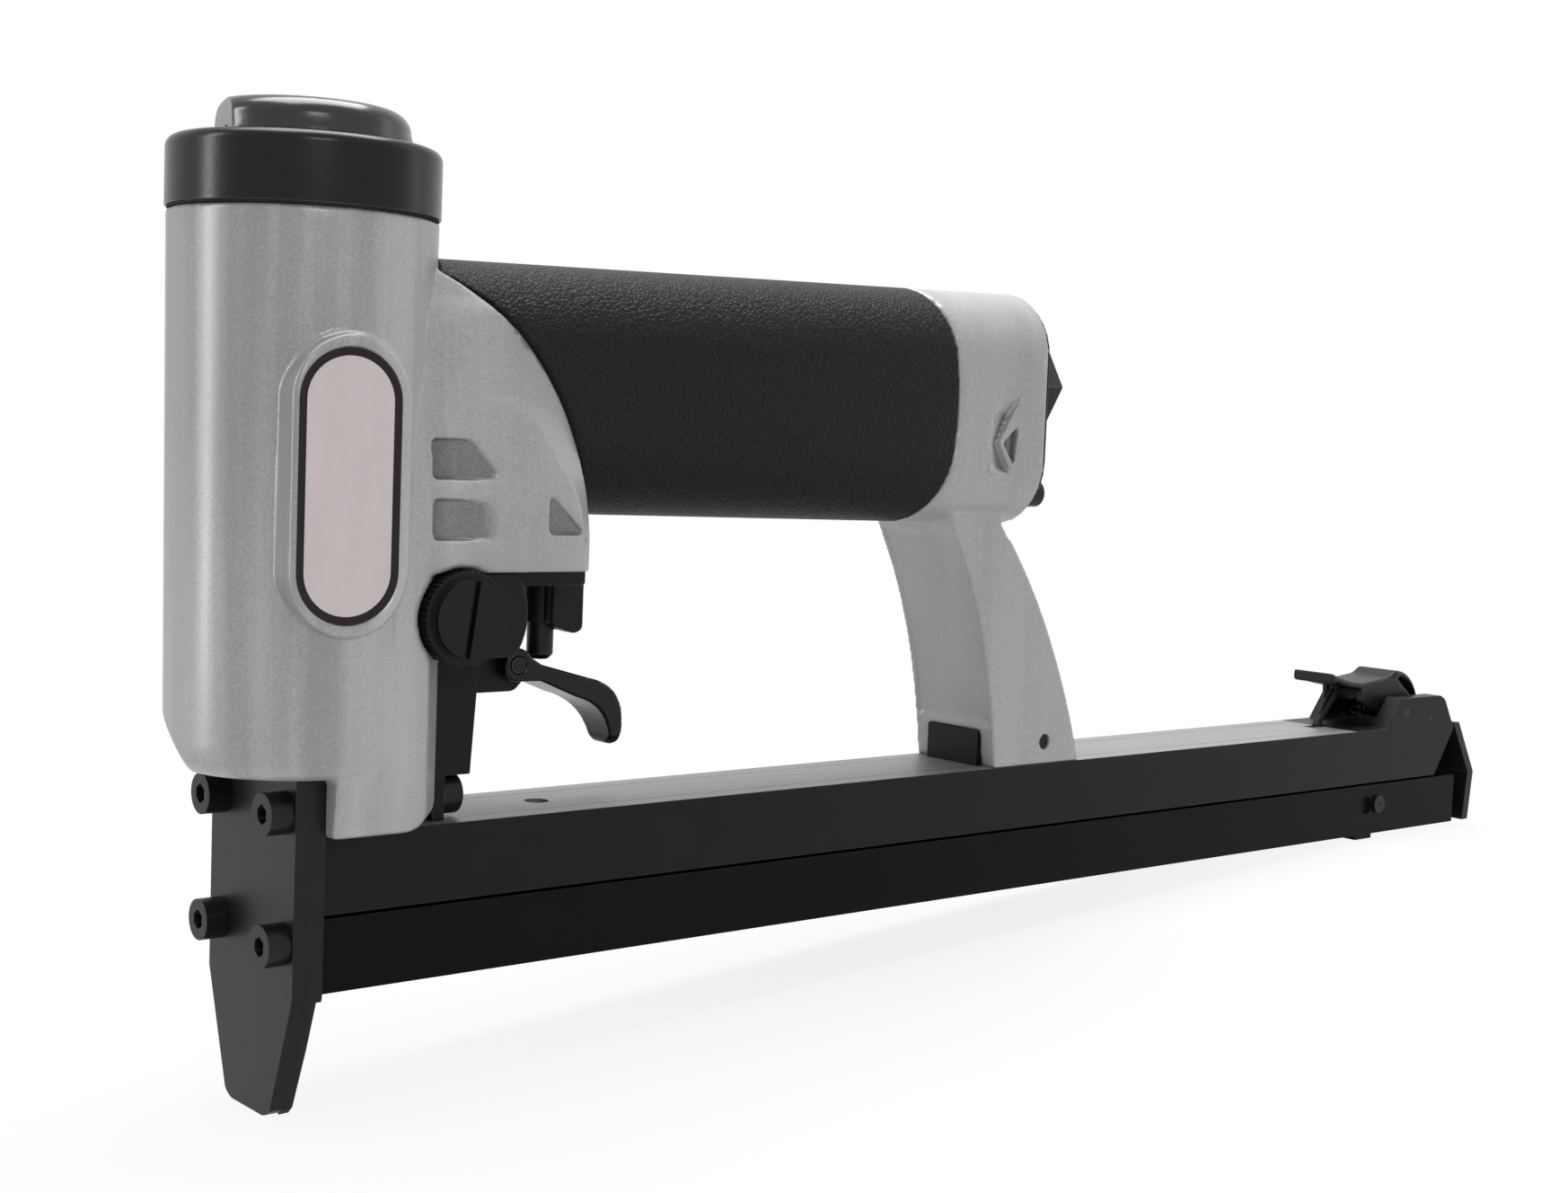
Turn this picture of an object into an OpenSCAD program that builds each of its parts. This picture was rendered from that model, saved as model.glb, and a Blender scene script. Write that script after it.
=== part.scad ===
// Pneumatic upholstery stapler with a long bottom-loading magazine, in millimetres.
// X runs from the nose to the tail, -Y is the side with the badge, Z is up.
// The origin is on the barrel's axis, level with the tip of the nose.

/* [Barrel] */
// Radius of the barrel at the cap seam
barrel_top_r = 21.8; // [20:0.1:24]
// Radius of the barrel at its lower end
barrel_low_r = 20.8; // [19.5:0.1:23]
// Height of the barrel's floor underside
barrel_low_z = 57; // [55:0.5:60]
// Height of the seam between barrel and cap
seam_z = 147.2; // [140:0.1:160]
// Rounding of the barrel's lower edge
barrel_edge_r = 3.5; // [3:0.5:6]
// Thickness of the barrel's floor
floor_t = 5; // [4:0.5:6]
// Outer radius of the cylinder liner
liner_r = 17; // [16:0.1:17.6]
// Wall of the cylinder liner
liner_t = 3; // [2:0.1:3.5]

/* [Cap and exhaust] */
// Radius of the cap
cap_r = 22.1; // [21:0.1:24]
// Height of the cap
cap_h = 11.2; // [9:0.1:14]
// Rounding of the cap's top edge
cap_edge_r = 1.8; // [1:0.1:3]
// Thickness of the cap's gasket
gasket_t = 0.3; // [0.2:0.1:1]
// Radius of the exhaust deflector at its foot
dome_r = 17.5; // [14:0.1:19]
// Height of the exhaust deflector
dome_h = 6.8; // [6:0.1:10]
// Rounding of the deflector's shoulder
dome_edge_r = 3.6; // [2:0.1:5]
// Distance from the axis to the deflector's cut-off face
dome_cut_x = 13.3; // [10:0.1:15]
// Turn of the exhaust's port and of the cut-off face from straight ahead, in degrees
exhaust_turn = 33; // [0:1:90]
// Wall of the deflector
dome_t = 2.4; // [1.6:0.1:3]

/* [Piston and driver] */
// Travel of the piston
stroke = 43; // [38:0.5:44]
// Thickness of the piston's crown
piston_h = 14; // [10:0.5:16]
// Underside of the piston at rest
piston_z = 118; // [116:0.5:120]
// Radius of the piston's rod
rod_r = 5.8; // [5.6:0.1:6.2]
// Length of the piston's rod below the crown
rod_l = 14; // [12:0.5:15]
// Width of the driver blade
driver_w = 12.8; // [11:0.1:13.4]
// Thickness of the driver blade
driver_t = 1.1; // [0.9:0.1:1.3]
// Height of the driver's edge at rest
driver_z = 45; // [44.5:0.1:46]
// Height of the rubber bumper
bumper_h = 10; // [8:0.5:11]

/* [Nose] */
// Width of the nose plates
nose_w = 30; // [29:0.1:34]
// Width of the nose at its tip
nose_tip_w = 16.3; // [15:0.1:20]
// Thickness of the nose's front plate
nose_t = 2.4; // [2:0.1:4]
// Thickness of the driver guide plate behind it
guide_t = 3; // [2.8:0.1:3.6]
// Distance of the nose's rear face in front of the barrel axis
nose_back = 1.6; // [1:0.1:2.2]
// Height where the nose starts to taper
nose_taper_z = 21; // [18:0.5:24]
// Height of the step in the nose's rear face
tip_step_z = 20.3; // [18:0.1:20.4]
// Depth of that step
tip_step = 0.9; // [0.5:0.1:1]
// Height where the rear of the tip starts to slope
tip_slope_z = 12; // [9:0.5:16]
// How far the rear of the tip slopes in
tip_slope = 0.4; // [0.2:0.1:0.5]
// Sideways place of the nose screws
nose_screw_y = 11.2; // [10.5:0.1:11.5]
// Height of the upper nose screws
nose_screw_high_z = 51.2; // [50.5:0.1:52]
// Height of the lower nose screws
nose_screw_low_z = 29.8; // [27:0.1:31]

/* [Cap screws] */
// Thread diameter of the socket cap screws
screw_d = 4; // [3:0.1:4.2]
// Head diameter of the socket cap screws
screw_head_d = 7; // [6.5:0.1:7.4]
// Head height of the socket cap screws
screw_head_h = 4; // [3:0.1:4.5]
// Key size of the socket cap screws
screw_key = 3; // [2.5:0.1:3.4]
// Depth of the key socket
screw_key_depth = 2.2; // [1.5:0.1:2.5]

/* [Body casting] */
// Greatest width of the casting behind the barrel
shoulder_w = 39.6; // [38:0.1:41]
// Height of the foot's underside, just above the magazine
foot_z = 47.2; // [47:0.1:48]
// Rear face of the foot
foot_x = 21.4; // [21.3:0.1:22]
// Start of the foot's slanted rear corners
foot_corner_x = 13.7; // [12:0.1:15]
// Half width of the foot's flat rear face
foot_flat_y = 10; // [9.6:0.1:10.6]
// Rounding of the slanted corners' lower edge
foot_edge_r = 3.5; // [2:0.1:4.5]
// Underside of the casting above the trigger
shoulder_low_z = 90; // [88:0.5:92]
// Radius of the arc where the grip starts
seam_arc_r = 48.5; // [46:0.1:52]
// Distance of that arc's middle in front of the barrel axis
seam_arc_x = 2; // [1:0.1:3]
// Height of that arc's middle
seam_arc_z = 95; // [93:0.1:97]
// Width of the handle
handle_w = 34.4; // [32:0.1:37]
// Height of the handle at its rear
handle_h = 48.2; // [45:0.1:50]
// Height of the handle's middle at its rear
handle_z = 122; // [120:0.1:123]
// Height of the handle where it leaves the barrel
handle_front_h = 42.2; // [40:0.1:45]
// How much lower the handle's middle is there
handle_drop = 1.3; // [0.5:0.1:2]
// Corner radius of the handle's section
handle_corner_r = 13.5; // [10:0.1:16]
// Rear face of the handle
handle_rear_x = 160.6; // [155:0.1:170]
// Radius of the air chamber in the handle
chamber_r = 10.5; // [9:0.1:11]
// Height of the air chamber's axis above the handle's middle
chamber_rise = 3; // [2.5:0.1:4]
// Wall between the air chamber and the handle's rear face
end_wall = 8; // [7.6:0.1:9]

/* [Grip] */
// Thickness of the grip sleeve
grip_t = 2.4; // [1.8:0.1:3]
// Length of the handle behind the grip sleeve
grip_back = 25.3; // [24:0.1:30]
// Radius of the arc where the grip ends
grip_arc_r = 56; // [50:0.5:80]

/* [Rear leg] */
// Width of the rear leg
leg_w = 23.4; // [20:0.1:26]
// Place of the leg's front under the handle, in front of the handle's rear face
leg_top_front_back = 20.2; // [18:0.1:22]
// Place of the leg's rear under the handle, in front of the handle's rear face
leg_top_rear_back = 5.7; // [4:0.1:7]
// Place of the leg's front at its foot, in front of the handle's rear face
leg_low_front_back = 4.8; // [3:0.1:6]
// Reach of the leg's foot behind the handle's rear face
leg_low_rear_reach = 21.2; // [19:0.1:24]
// Width of the black lug between magazine and leg
lug_w = 14.8; // [13:0.1:16]
// Height of the lug
lug_h = 7.4; // [6:0.1:9]
// How far the lug stands in front of the leg's foot
lug_ahead = 1.4; // [1:0.1:3]
// Length of the lug
lug_l = 22; // [18:0.1:22.5]
// Diameter of the pin through leg and lug
leg_pin_d = 3.2; // [2.4:0.1:3.6]
// Place of the leg pin in front of the leg's rear at its foot
leg_pin_back = 10.8; // [10:0.1:13]
// Height of the leg pin above the magazine
leg_pin_rise = 4.6; // [3.6:0.1:5.4]

/* [Inlet] */
// Thickness of the black end plate
end_plate_t = 0.8; // [0.6:0.1:3]
// Width across the flats of the inlet bush
inlet_key = 26.8; // [24:0.1:28]
// Length of the inlet bush's hexagon
inlet_hex_l = 5.6; // [3:0.1:7]
// Height of the inlet's axis above the handle's middle
inlet_rise = 5; // [4:0.1:6]
// Core diameter of the inlet's pipe thread
inlet_thread_d = 11.45; // [11:0.05:12]
// Depth of the inlet's thread
inlet_depth = 14; // [10:0.5:16]
// Distance of the end plate's screws from the handle's side
end_screw_in = 6.2; // [6:0.1:8]
// Height of the end plate's screws above the handle's underside
end_screw_rise = 6.8; // [6.6:0.1:8]
// Head diameter of the end plate's screws
end_head_d = 5.8; // [5:0.1:6.4]
// Head height of the end plate's screws
end_head_h = 2.2; // [1.5:0.1:3]
// Height of the heads of the inlet end's screws
cover_head_h = 3.2; // [2:0.1:4]
// Thread diameter of the end plate's screws
end_screw_d = 3; // [2.5:0.1:3.4]

/* [Magazine] */
// Width of the magazine
mag_w = 23.4; // [22:0.1:26]
// Height of the magazine's top
mag_top_z = 46.9; // [46:0.1:47]
// Height of the joint between fixed part and drawer
mag_split_z = 33.3; // [31:0.1:35]
// Height of the drawer's underside
mag_low_z = 20.6; // [20.4:0.1:22]
// Rear end of the drawer
mag_rear_x = 329.3; // [300:0.1:360]
// Thickness of the magazine's side plates
side_t = 4.4; // [3.6:0.1:4.8]
// Thickness of the magazine's top strip
strip_t = 3.4; // [2.5:0.1:4]
// Width of the groove between fixed part and drawer
mag_gap = 0.6; // [0.4:0.1:1]
// Diameter of the hole in the top strip
strip_hole_d = 4.5; // [3:0.1:5.5]
// Place of the hole in the top strip
strip_hole_x = 48.8; // [40:0.1:60]

/* [Drawer and pusher] */
// Width of the staple rail
rail_w = 10.8; // [9:0.1:11.4]
// Height of the staple rail's top
rail_top_z = 41.4; // [40:0.1:41.8]
// Wall of the staple rail and thickness of the drawer's floor
rail_t = 2; // [1.6:0.1:2.6]
// Length of the pusher
pusher_l = 26; // [20:0.5:30]
// Thickness of the pusher's sheet
pusher_t = 1; // [0.8:0.1:1.2]
// Height of the pusher's legs
pusher_leg = 11; // [8:0.1:13]
// Thickness of the drawer's bent end plate
end_t = 2.5; // [2:0.1:3]
// Rear face of the end plate at its bend
end_bend_x = 338.2; // [305:0.1:365]
// How far the end plate leans forward above its bend
end_lean = 8; // [5:0.1:8.2]
// How far the end plate leans forward below its bend
end_foot = 1.4; // [0.5:0.1:1.6]
// Depth of the stop tongue under the drawer
tongue_h = 1.2; // [0.8:0.1:2]
// Length of the stop tongue
tongue_l = 6.7; // [4:0.1:8]
// Place of the stop tongue in front of the drawer's rear end
tongue_back = 42.4; // [38:0.1:50]
// Diameter of the stop screw's head
stop_head_d = 4.2; // [3:0.1:5]
// Place of the stop screw in front of the drawer's rear end
stop_back = 34.3; // [30:0.1:36]
// Height of the stop screw
stop_z = 28; // [26.8:0.1:28.6]

/* [Latch] */
// Height of the latch ears
ear_top_z = 54.3; // [53.8:0.1:56]
// Length of the ears at their top
ear_l = 19.5; // [18:0.1:24]
// Place of the ears' top rear corner in front of the drawer's rear end
ear_back = 6.9; // [5.5:0.1:8]
// Place of the latch pivot in front of the drawer's rear end
latch_back = 23; // [21:0.1:25]
// Height of the latch pivot
latch_z = 50.6; // [50.4:0.1:51.2]
// Diameter of the latch pivot pin
latch_pin_d = 3; // [2.4:0.1:3.2]
// Thickness of the latch's sheet
latch_t = 1.7; // [1.4:0.1:2]
// Reach of the latch in front of its pivot
latch_front = 25; // [22:0.1:27]
// Reach of the latch behind its pivot
latch_tail = 12.6; // [11:0.1:13.5]
// Height of the latch's front edge
latch_top_z = 61; // [60:0.1:62]
// Width of the latch
latch_w = 12; // [9:0.1:13]
// Width of the latch's hook
hook_w = 1.8; // [1.4:0.1:3]

/* [Trigger] */
// Place of the trigger's pivot
trigger_x = 40; // [39:0.1:41]
// Height of the trigger's pivot
trigger_z = 72.6; // [72:0.1:73.4]
// Width of the trigger
trigger_w = 13; // [12:0.1:15]
// Radius of the trigger's pivot boss
trigger_boss_r = 3; // [2.6:0.1:3.4]
// Diameter of the trigger pin
trigger_pin_d = 3; // [2.4:0.1:3.2]
// Width of the lug that carries the trigger
trigger_lug_w = 7; // [6:0.1:8.6]
// Place of the valve stem
stem_x = 48.5; // [47.6:0.1:49]
// Diameter of the valve stem
stem_d = 4.8; // [3.6:0.1:5]
// Outer diameter of the valve bush
bush_d = 6.6; // [6.2:0.1:7]
// Underside of the valve bush
bush_z = 79.6; // [79:0.1:80.4]
// Width of the trigger housing
housing_w = 34.4; // [33:0.1:35]
// Rear end of the trigger housing's flange
flange_rear_x = 53.8; // [53.4:0.1:56]
// Start of the flange's slanted rear corners
flange_corner_x = 49.6; // [48:0.1:51]
// Thickness of the trigger housing's flange
flange_t = 3; // [2.4:0.1:3.6]
// Place of the speed knob
knob_x = 20.2; // [20:0.1:22]
// Height of the speed knob
knob_z = 82.6; // [82:0.1:83]
// Radius of the speed knob's knurled rim
knob_r = 8; // [7:0.1:8.4]
// Radius of the knob's slotted face
knob_face_r = 6.5; // [5.5:0.1:6.8]
// Thickness of the knob's rim
knob_rim_t = 3.6; // [3:0.1:4]
// Height of the knob's face above its rim
knob_face_t = 1.4; // [0.8:0.1:2]
// Width of the knob's slot
knob_slot = 1.1; // [0.8:0.1:1.6]
// Lean of the knob's slot from upright, in degrees
knob_lean = 8; // [0:1:90]

/* [Bracket] */
// Width of the black bracket behind the foot
bracket_w = 18.4; // [17.5:0.1:19]
// Rear face of the bracket
bracket_x = 30; // [29:0.1:30.4]
// Height of the bracket's top
bracket_top_z = 74; // [72:0.1:75]
// Height of the step above the bracket's screws
bracket_step_z = 54.6; // [54:0.1:56]
// Thickness of the bracket at its screws
bracket_foot_t = 2.4; // [2:0.1:4]
// Sideways place of the bracket's screws
bracket_screw_y = 5.4; // [4.6:0.1:5.8]
// Height of the bracket's screws
bracket_screw_z = 50.9; // [50.8:0.1:51]

/* [Badge] */
// Width of the badge boss
badge_w = 20.8; // [18:0.1:22]
// Height of the badge boss
badge_h = 47.6; // [42:0.1:50]
// Width of the border around the badge plate
badge_rim = 2; // [1.5:0.1:3]
// Distance of the badge's middle in front of the barrel axis
badge_x = 2.3; // [0:0.1:4]
// Height of the badge's middle
badge_z = 104; // [100:0.1:108]
// Distance from the barrel axis to the badge boss's face
badge_face = 22.6; // [22.2:0.1:23.6]
// Thickness of the badge plate
badge_t = 0.8; // [0.5:0.1:1.2]

/* [Hidden] */
// Clearance between pieces that are fixed together
fit = 0.05;
// Running clearance of a shaft or guide, on each side
run = 0.08;
// Clearance between pieces that pass each other
pass = 0.35;
// Overrun of every cut
over = 1;

// Curves with this many facets become true arcs
$fn = 64;
// Points along one bend of an outline
bend_steps = 8;
// Turns, facets around the wire and rings in a turn of a coil
coil_sides = 6;
coil_rings = 10;
valve_turns = 3;
latch_turns = 3;
knurl_teeth = 48;

// Derived places
cap_z = seam_z + gasket_t;
cap_top_z = cap_z + cap_h;
dome_z = cap_top_z + pass;
dome_top_z = dome_z + dome_h;
bore_z = barrel_low_z + floor_t;
liner_h = seam_z - bore_z - gasket_t;
nose_rear_x = -nose_back;
guide_x = nose_rear_x - guide_t;
nose_x = guide_x - nose_t;
mag_x = nose_rear_x + fit;
mag_half = mag_w / 2;
strip_half = mag_half - side_t;
strip_low_z = mag_top_z - strip_t;
drawer_top_z = mag_split_z - mag_gap / 2;
side_low_z = mag_split_z + mag_gap / 2;
ear_rear_x = mag_rear_x - ear_back;
ear_front_x = ear_rear_x - ear_l;
latch_x = mag_rear_x - latch_back;
handle_low_z = handle_z - handle_h / 2;
// The handle starts inside the barrel's wall
handle_front_x = barrel_low_r / sqrt(3);
grip_rear_x = handle_rear_x - grip_back;
channel_w = driver_w + 2 * run;
channel_t = driver_t + 2 * run;
driver_x = -guide_x - channel_t / 2;
inlet_z = handle_z + inlet_rise;
end_screw_y = handle_w / 2 - end_screw_in;
end_screw_z = handle_low_z + end_screw_rise;
leg_top_front_x = handle_rear_x - leg_top_front_back;
leg_top_rear_x = handle_rear_x - leg_top_rear_back;
leg_low_front_x = handle_rear_x - leg_low_front_back;
leg_low_rear_x = handle_rear_x + leg_low_rear_reach;
lug_front_x = leg_low_front_x - lug_ahead;
leg_pin_x = leg_low_rear_x - leg_pin_back;
flange_z = shoulder_low_z - fit;
plate_x = handle_rear_x + fit;
hex_x = plate_x + end_plate_t + fit;
lug_z = mag_top_z + fit;
lug_top_z = lug_z + lug_h;
// Way of the driver through floor and bumper
passage_gap = 1.1;
passage_r = norm([driver_w / 2, driver_x + driver_t / 2]) + passage_gap;
// Lug of the trigger housing, and the room around the valve's bush
lug_wall = 1;
lug_rear_x = trigger_x + trigger_boss_r + lug_wall;
bush_roof = 1;
bush_top_z = flange_z - bush_roof - fit;
bush_room_z = bush_top_z - bush_roof;
// Rear end of the fixed part of the magazine
side_end_gap = 1.35;
side_rear_x = mag_rear_x - side_end_gap;

// Half widths of the casting behind the barrel, as shares of half its greatest width,
// at heights given as shares of the way from the foot's underside to the cap seam
shoulder_shares = [[0, 0.9], [0.13, 0.985], [0.38, 1], [0.53, 0.98], [0.7, 0.9],
  [0.85, 0.82], [0.915, 0.72], [0.945, 0.55], [0.953, 0.3]];
// Places of the leg's bends, as shares of each edge's run and of the drop
leg_front_share = 0.8;
leg_rear_share = 0.65;
leg_drop_share = 0.39;

// Point on a bend with three control points
function bend(a, b, c, t) = (1 - t) * (1 - t) * a + 2 * t * (1 - t) * b + t * t * c;
function bend_points(a, b, c) = [for (i = [0 : bend_steps]) bend(a, b, c, i / bend_steps)];
// Quarter circle around a middle, from one angle to another
function arc_points(m, r, a0, a1) = [for (i = [0 : bend_steps])
  m + r * [cos(a0 + (a1 - a0) * i / bend_steps), sin(a0 + (a1 - a0) * i / bend_steps)]];

// Outline in X and Z, as thick as given, around the middle plane
module slab(width) { rotate([90, 0, 0]) linear_extrude(width, center = true) children(); }
// Section in Y and Z, from one X to another
module bar(x0, x1) { translate([x0, 0, 0]) rotate([90, 0, 90]) linear_extrude(x1 - x0) children(); }
// Round bar across the tool
module cross(x, z, r, width) {
  translate([x, 0, z]) rotate([90, 0, 0]) cylinder(r = r, h = width, center = true);
}
// Round bar along the tool, from one X to another
module along(x0, x1, y, z, r) {
  translate([x0, y, z]) rotate([0, 90, 0]) cylinder(r = r, h = x1 - x0);
}
// Mirrored copies on both sides
module both() { children(); mirror([0, 1, 0]) children(); }
// Round pipe with a square section
module ring(r, inner_r, z0, z1) {
  translate([0, 0, z0]) difference() {
    cylinder(r = r, h = z1 - z0);
    translate([0, 0, -over]) cylinder(r = inner_r, h = z1 - z0 + 2 * over);
  }
}
// Cap screw whose head starts at zero and points to +Z, with its key socket
module cap_screw(head_d, head_h, d, l, key, key_depth) {
  difference() {
    union() {
      cylinder(d = head_d, h = head_h);
      translate([0, 0, -l]) cylinder(d = d, h = l + fit);
    }
    translate([0, 0, head_h - key_depth]) cylinder(d = key / cos(30), h = key_depth + over, $fn = 6);
  }
}
// Wire coil around the Z axis, as one closed tube
module coil(r, wire_r, turns, height) {
  steps = turns * coil_rings;
  points = [for (i = [0 : steps], j = [0 : coil_sides - 1])
    let (a = 360 * i / coil_rings, b = 360 * j / coil_sides)
    [(r + wire_r * cos(b)) * cos(a), (r + wire_r * cos(b)) * sin(a),
     height * i / steps + wire_r * sin(b)]];
  sides = [for (i = [0 : steps - 1], j = [0 : coil_sides - 1])
    let (k = (j + 1) % coil_sides, p = i * coil_sides, q = p + coil_sides)
    each [[p + j, q + j, q + k], [p + j, q + k, p + k]]];
  ends = [for (j = [1 : coil_sides - 2]) each [[0, j, j + 1],
    [steps * coil_sides, steps * coil_sides + j + 1, steps * coil_sides + j]]];
  apart = coil_rings * coil_sides / 2;
  echo(least_gap = min([for (i = [0 : len(points) - 1 - apart], k = [i + apart : len(points) - 1])
    norm(points[i] - points[k])]));
  polyhedron(points, concat(sides, ends));
}

// Section of the handle with a height and a middle, grown or shrunk by a margin
module handle_section(h, z, margin) {
  translate([0, z]) offset(r = handle_corner_r + margin, $fn = 32)
    square([handle_w - 2 * handle_corner_r, h - 2 * handle_corner_r], center = true);
}
// Tapered handle, grown or shrunk by a margin
module handle(margin) {
  hull() {
    bar(handle_front_x, handle_front_x + over)
      handle_section(handle_front_h, handle_z - handle_drop, margin);
    bar(handle_rear_x - over, handle_rear_x) handle_section(handle_h, handle_z, margin);
  }
}
// Space between the grip's curved seams, drawn in by a margin
module grip_side(margin) {
  arc_x = grip_rear_x - grip_arc_r;
  difference() {
    union() {
      translate([arc_x, handle_z]) circle(r = grip_arc_r - margin, $fn = 180);
      translate([-seam_arc_x, handle_z - handle_h]) square([arc_x + grip_arc_r / 2, 2 * handle_h]);
    }
    translate([-seam_arc_x, seam_arc_z]) circle(r = seam_arc_r + margin, $fn = 180);
  }
}
module barrel(margin) {
  rotate_extrude($fn = 120) polygon(concat([[0, barrel_low_z]],
    arc_points([barrel_low_r + margin - barrel_edge_r, barrel_low_z + barrel_edge_r], barrel_edge_r, -90, 0),
    [[barrel_top_r + margin, seam_z], [0, seam_z]]));
}
// Casting between barrel, foot and grip
module shoulder() {
  half = shoulder_w / 2;
  rise = seam_z - foot_z;
  right = [for (s = shoulder_shares) [half * s[1], foot_z + rise * s[0]]];
  left = [for (i = [len(right) - 1 : -1 : 0]) [-right[i][0], right[i][1]]];
  intersection() {
    bar(nose_rear_x, seam_arc_r) polygon(concat(right, left));
    slab(shoulder_w) union() {
      translate([-seam_arc_x, seam_arc_z]) circle(r = seam_arc_r, $fn = 180);
      translate([-seam_arc_r, foot_z]) square([2 * seam_arc_r - seam_arc_x, seam_arc_z - foot_z]);
    }
  }
}
// Outline of the casting below the shoulder in X and Y, grown by a margin
module foot_outline(margin) {
  half = shoulder_w / 2;
  side = foot_flat_y + margin;
  polygon([[-seam_arc_r, -half - margin], [foot_corner_x, -half - margin], [foot_x + margin, -side],
    [foot_x + margin, side], [foot_corner_x, half + margin], [-seam_arc_r, half + margin]]);
}
// Everything behind that outline, up to the shoulder's underside
module behind_foot() {
  translate([0, 0, -over]) linear_extrude(shoulder_low_z + over) difference() {
    translate([0, -shoulder_w]) square([seam_arc_r, 2 * shoulder_w]);
    foot_outline(0);
  }
}
// Round edge under the foot's slanted corner
module foot_corner() {
  half = shoulder_w / 2;
  lean = atan2(half - foot_flat_y, foot_x - foot_corner_x);
  translate([foot_corner_x, -half, foot_z]) rotate([0, 0, lean - 90]) difference() {
    translate([-foot_edge_r, -half, -over]) cube([foot_edge_r + over, shoulder_w, foot_edge_r + over]);
    translate([-foot_edge_r, 0, foot_edge_r]) rotate([90, 0, 0])
      cylinder(r = foot_edge_r, h = shoulder_w + over, center = true);
  }
}
// Rear leg between handle and magazine
module leg() {
  bend_z = handle_low_z - leg_drop_share * (handle_low_z - lug_z);
  front_x = leg_top_front_x + leg_front_share * (leg_low_front_x - leg_top_front_x);
  rear_x = leg_top_rear_x + leg_rear_share * (leg_low_rear_x - leg_top_rear_x);
  slab(leg_w) polygon(concat([[leg_top_front_x, handle_z]],
    bend_points([leg_top_front_x, handle_low_z], [front_x, bend_z], [leg_low_front_x, lug_z]),
    bend_points([leg_low_rear_x, lug_z], [rear_x, bend_z], [leg_top_rear_x, handle_low_z]),
    [[leg_top_rear_x, handle_z]]));
}
// Flat stadium on the badge side, from the barrel axis outwards
module badge_outline(margin) {
  r = badge_w / 2 - margin;
  reach = (badge_h - badge_w) / 2;
  hull() for (s = [-1, 1]) translate([-badge_x, badge_z + s * reach]) circle(r = r);
}
// Wedge pockets in the sides of the casting
pocket_front_x = 14.4;
pocket_rear_x = 26.6;
pocket_low_zs = [95.4, 105.4];
pocket_high_zs = [102.1, 112];
pocket_front_deeps = [2.6, 3.6];
pocket_rear_deeps = [0.5, 1.5];
pocket_corners = [0, 5];
module pockets() {
  half = shoulder_w / 2;
  for (i = [0 : len(pocket_low_zs) - 1]) intersection() {
    translate([0, 0, pocket_low_zs[i]]) linear_extrude(pocket_high_zs[i] - pocket_low_zs[i])
      polygon([[pocket_front_x, -half - over], [pocket_front_x, -half + pocket_front_deeps[i]],
        [pocket_rear_x, -half + pocket_rear_deeps[i]], [pocket_rear_x, -half - over]]);
    slab(shoulder_w + 2 * over) polygon([[pocket_front_x, pocket_low_zs[i]],
      [pocket_rear_x, pocket_low_zs[i]], [pocket_rear_x, pocket_high_zs[i] - pocket_corners[i]],
      [pocket_rear_x - pocket_corners[i], pocket_high_zs[i]], [pocket_front_x, pocket_high_zs[i]]]);
  }
}
// Three-cornered pocket in the side of the casting, below the grip's seam
notch_front_x = 37;
notch_rear_x = 44.7;
notch_low_z = 96.2;
notch_high_z = 103.5;
notch_deep = 1.6;
module notch() {
  translate([0, notch_deep - shoulder_w / 2, 0]) rotate([90, 0, 0]) linear_extrude(notch_deep + over)
    polygon([[notch_front_x, notch_low_z], [notch_rear_x, notch_low_z], [notch_front_x, notch_high_z]]);
}
// Two recesses in the side of the handle's rear end, with a bent ridge between them,
// as places from the handle's rear face and middle
window_outline = [[-16.4, -13.6], [-14.6, 2.6], [-7, 3.2], [-13.4, -7.2], [-9.4, -13.2]];
window_deep = 1.1;
corner_outline = [[-12.4, -7.2], [-8, -3.2], [-8.8, -12]];
corner_deep = 2.4;
module rear_window(outline, deep) {
  translate([handle_rear_x, deep - handle_w / 2, handle_z]) rotate([90, 0, 0]) linear_extrude(deep + over)
    polygon(outline);
}
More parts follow.
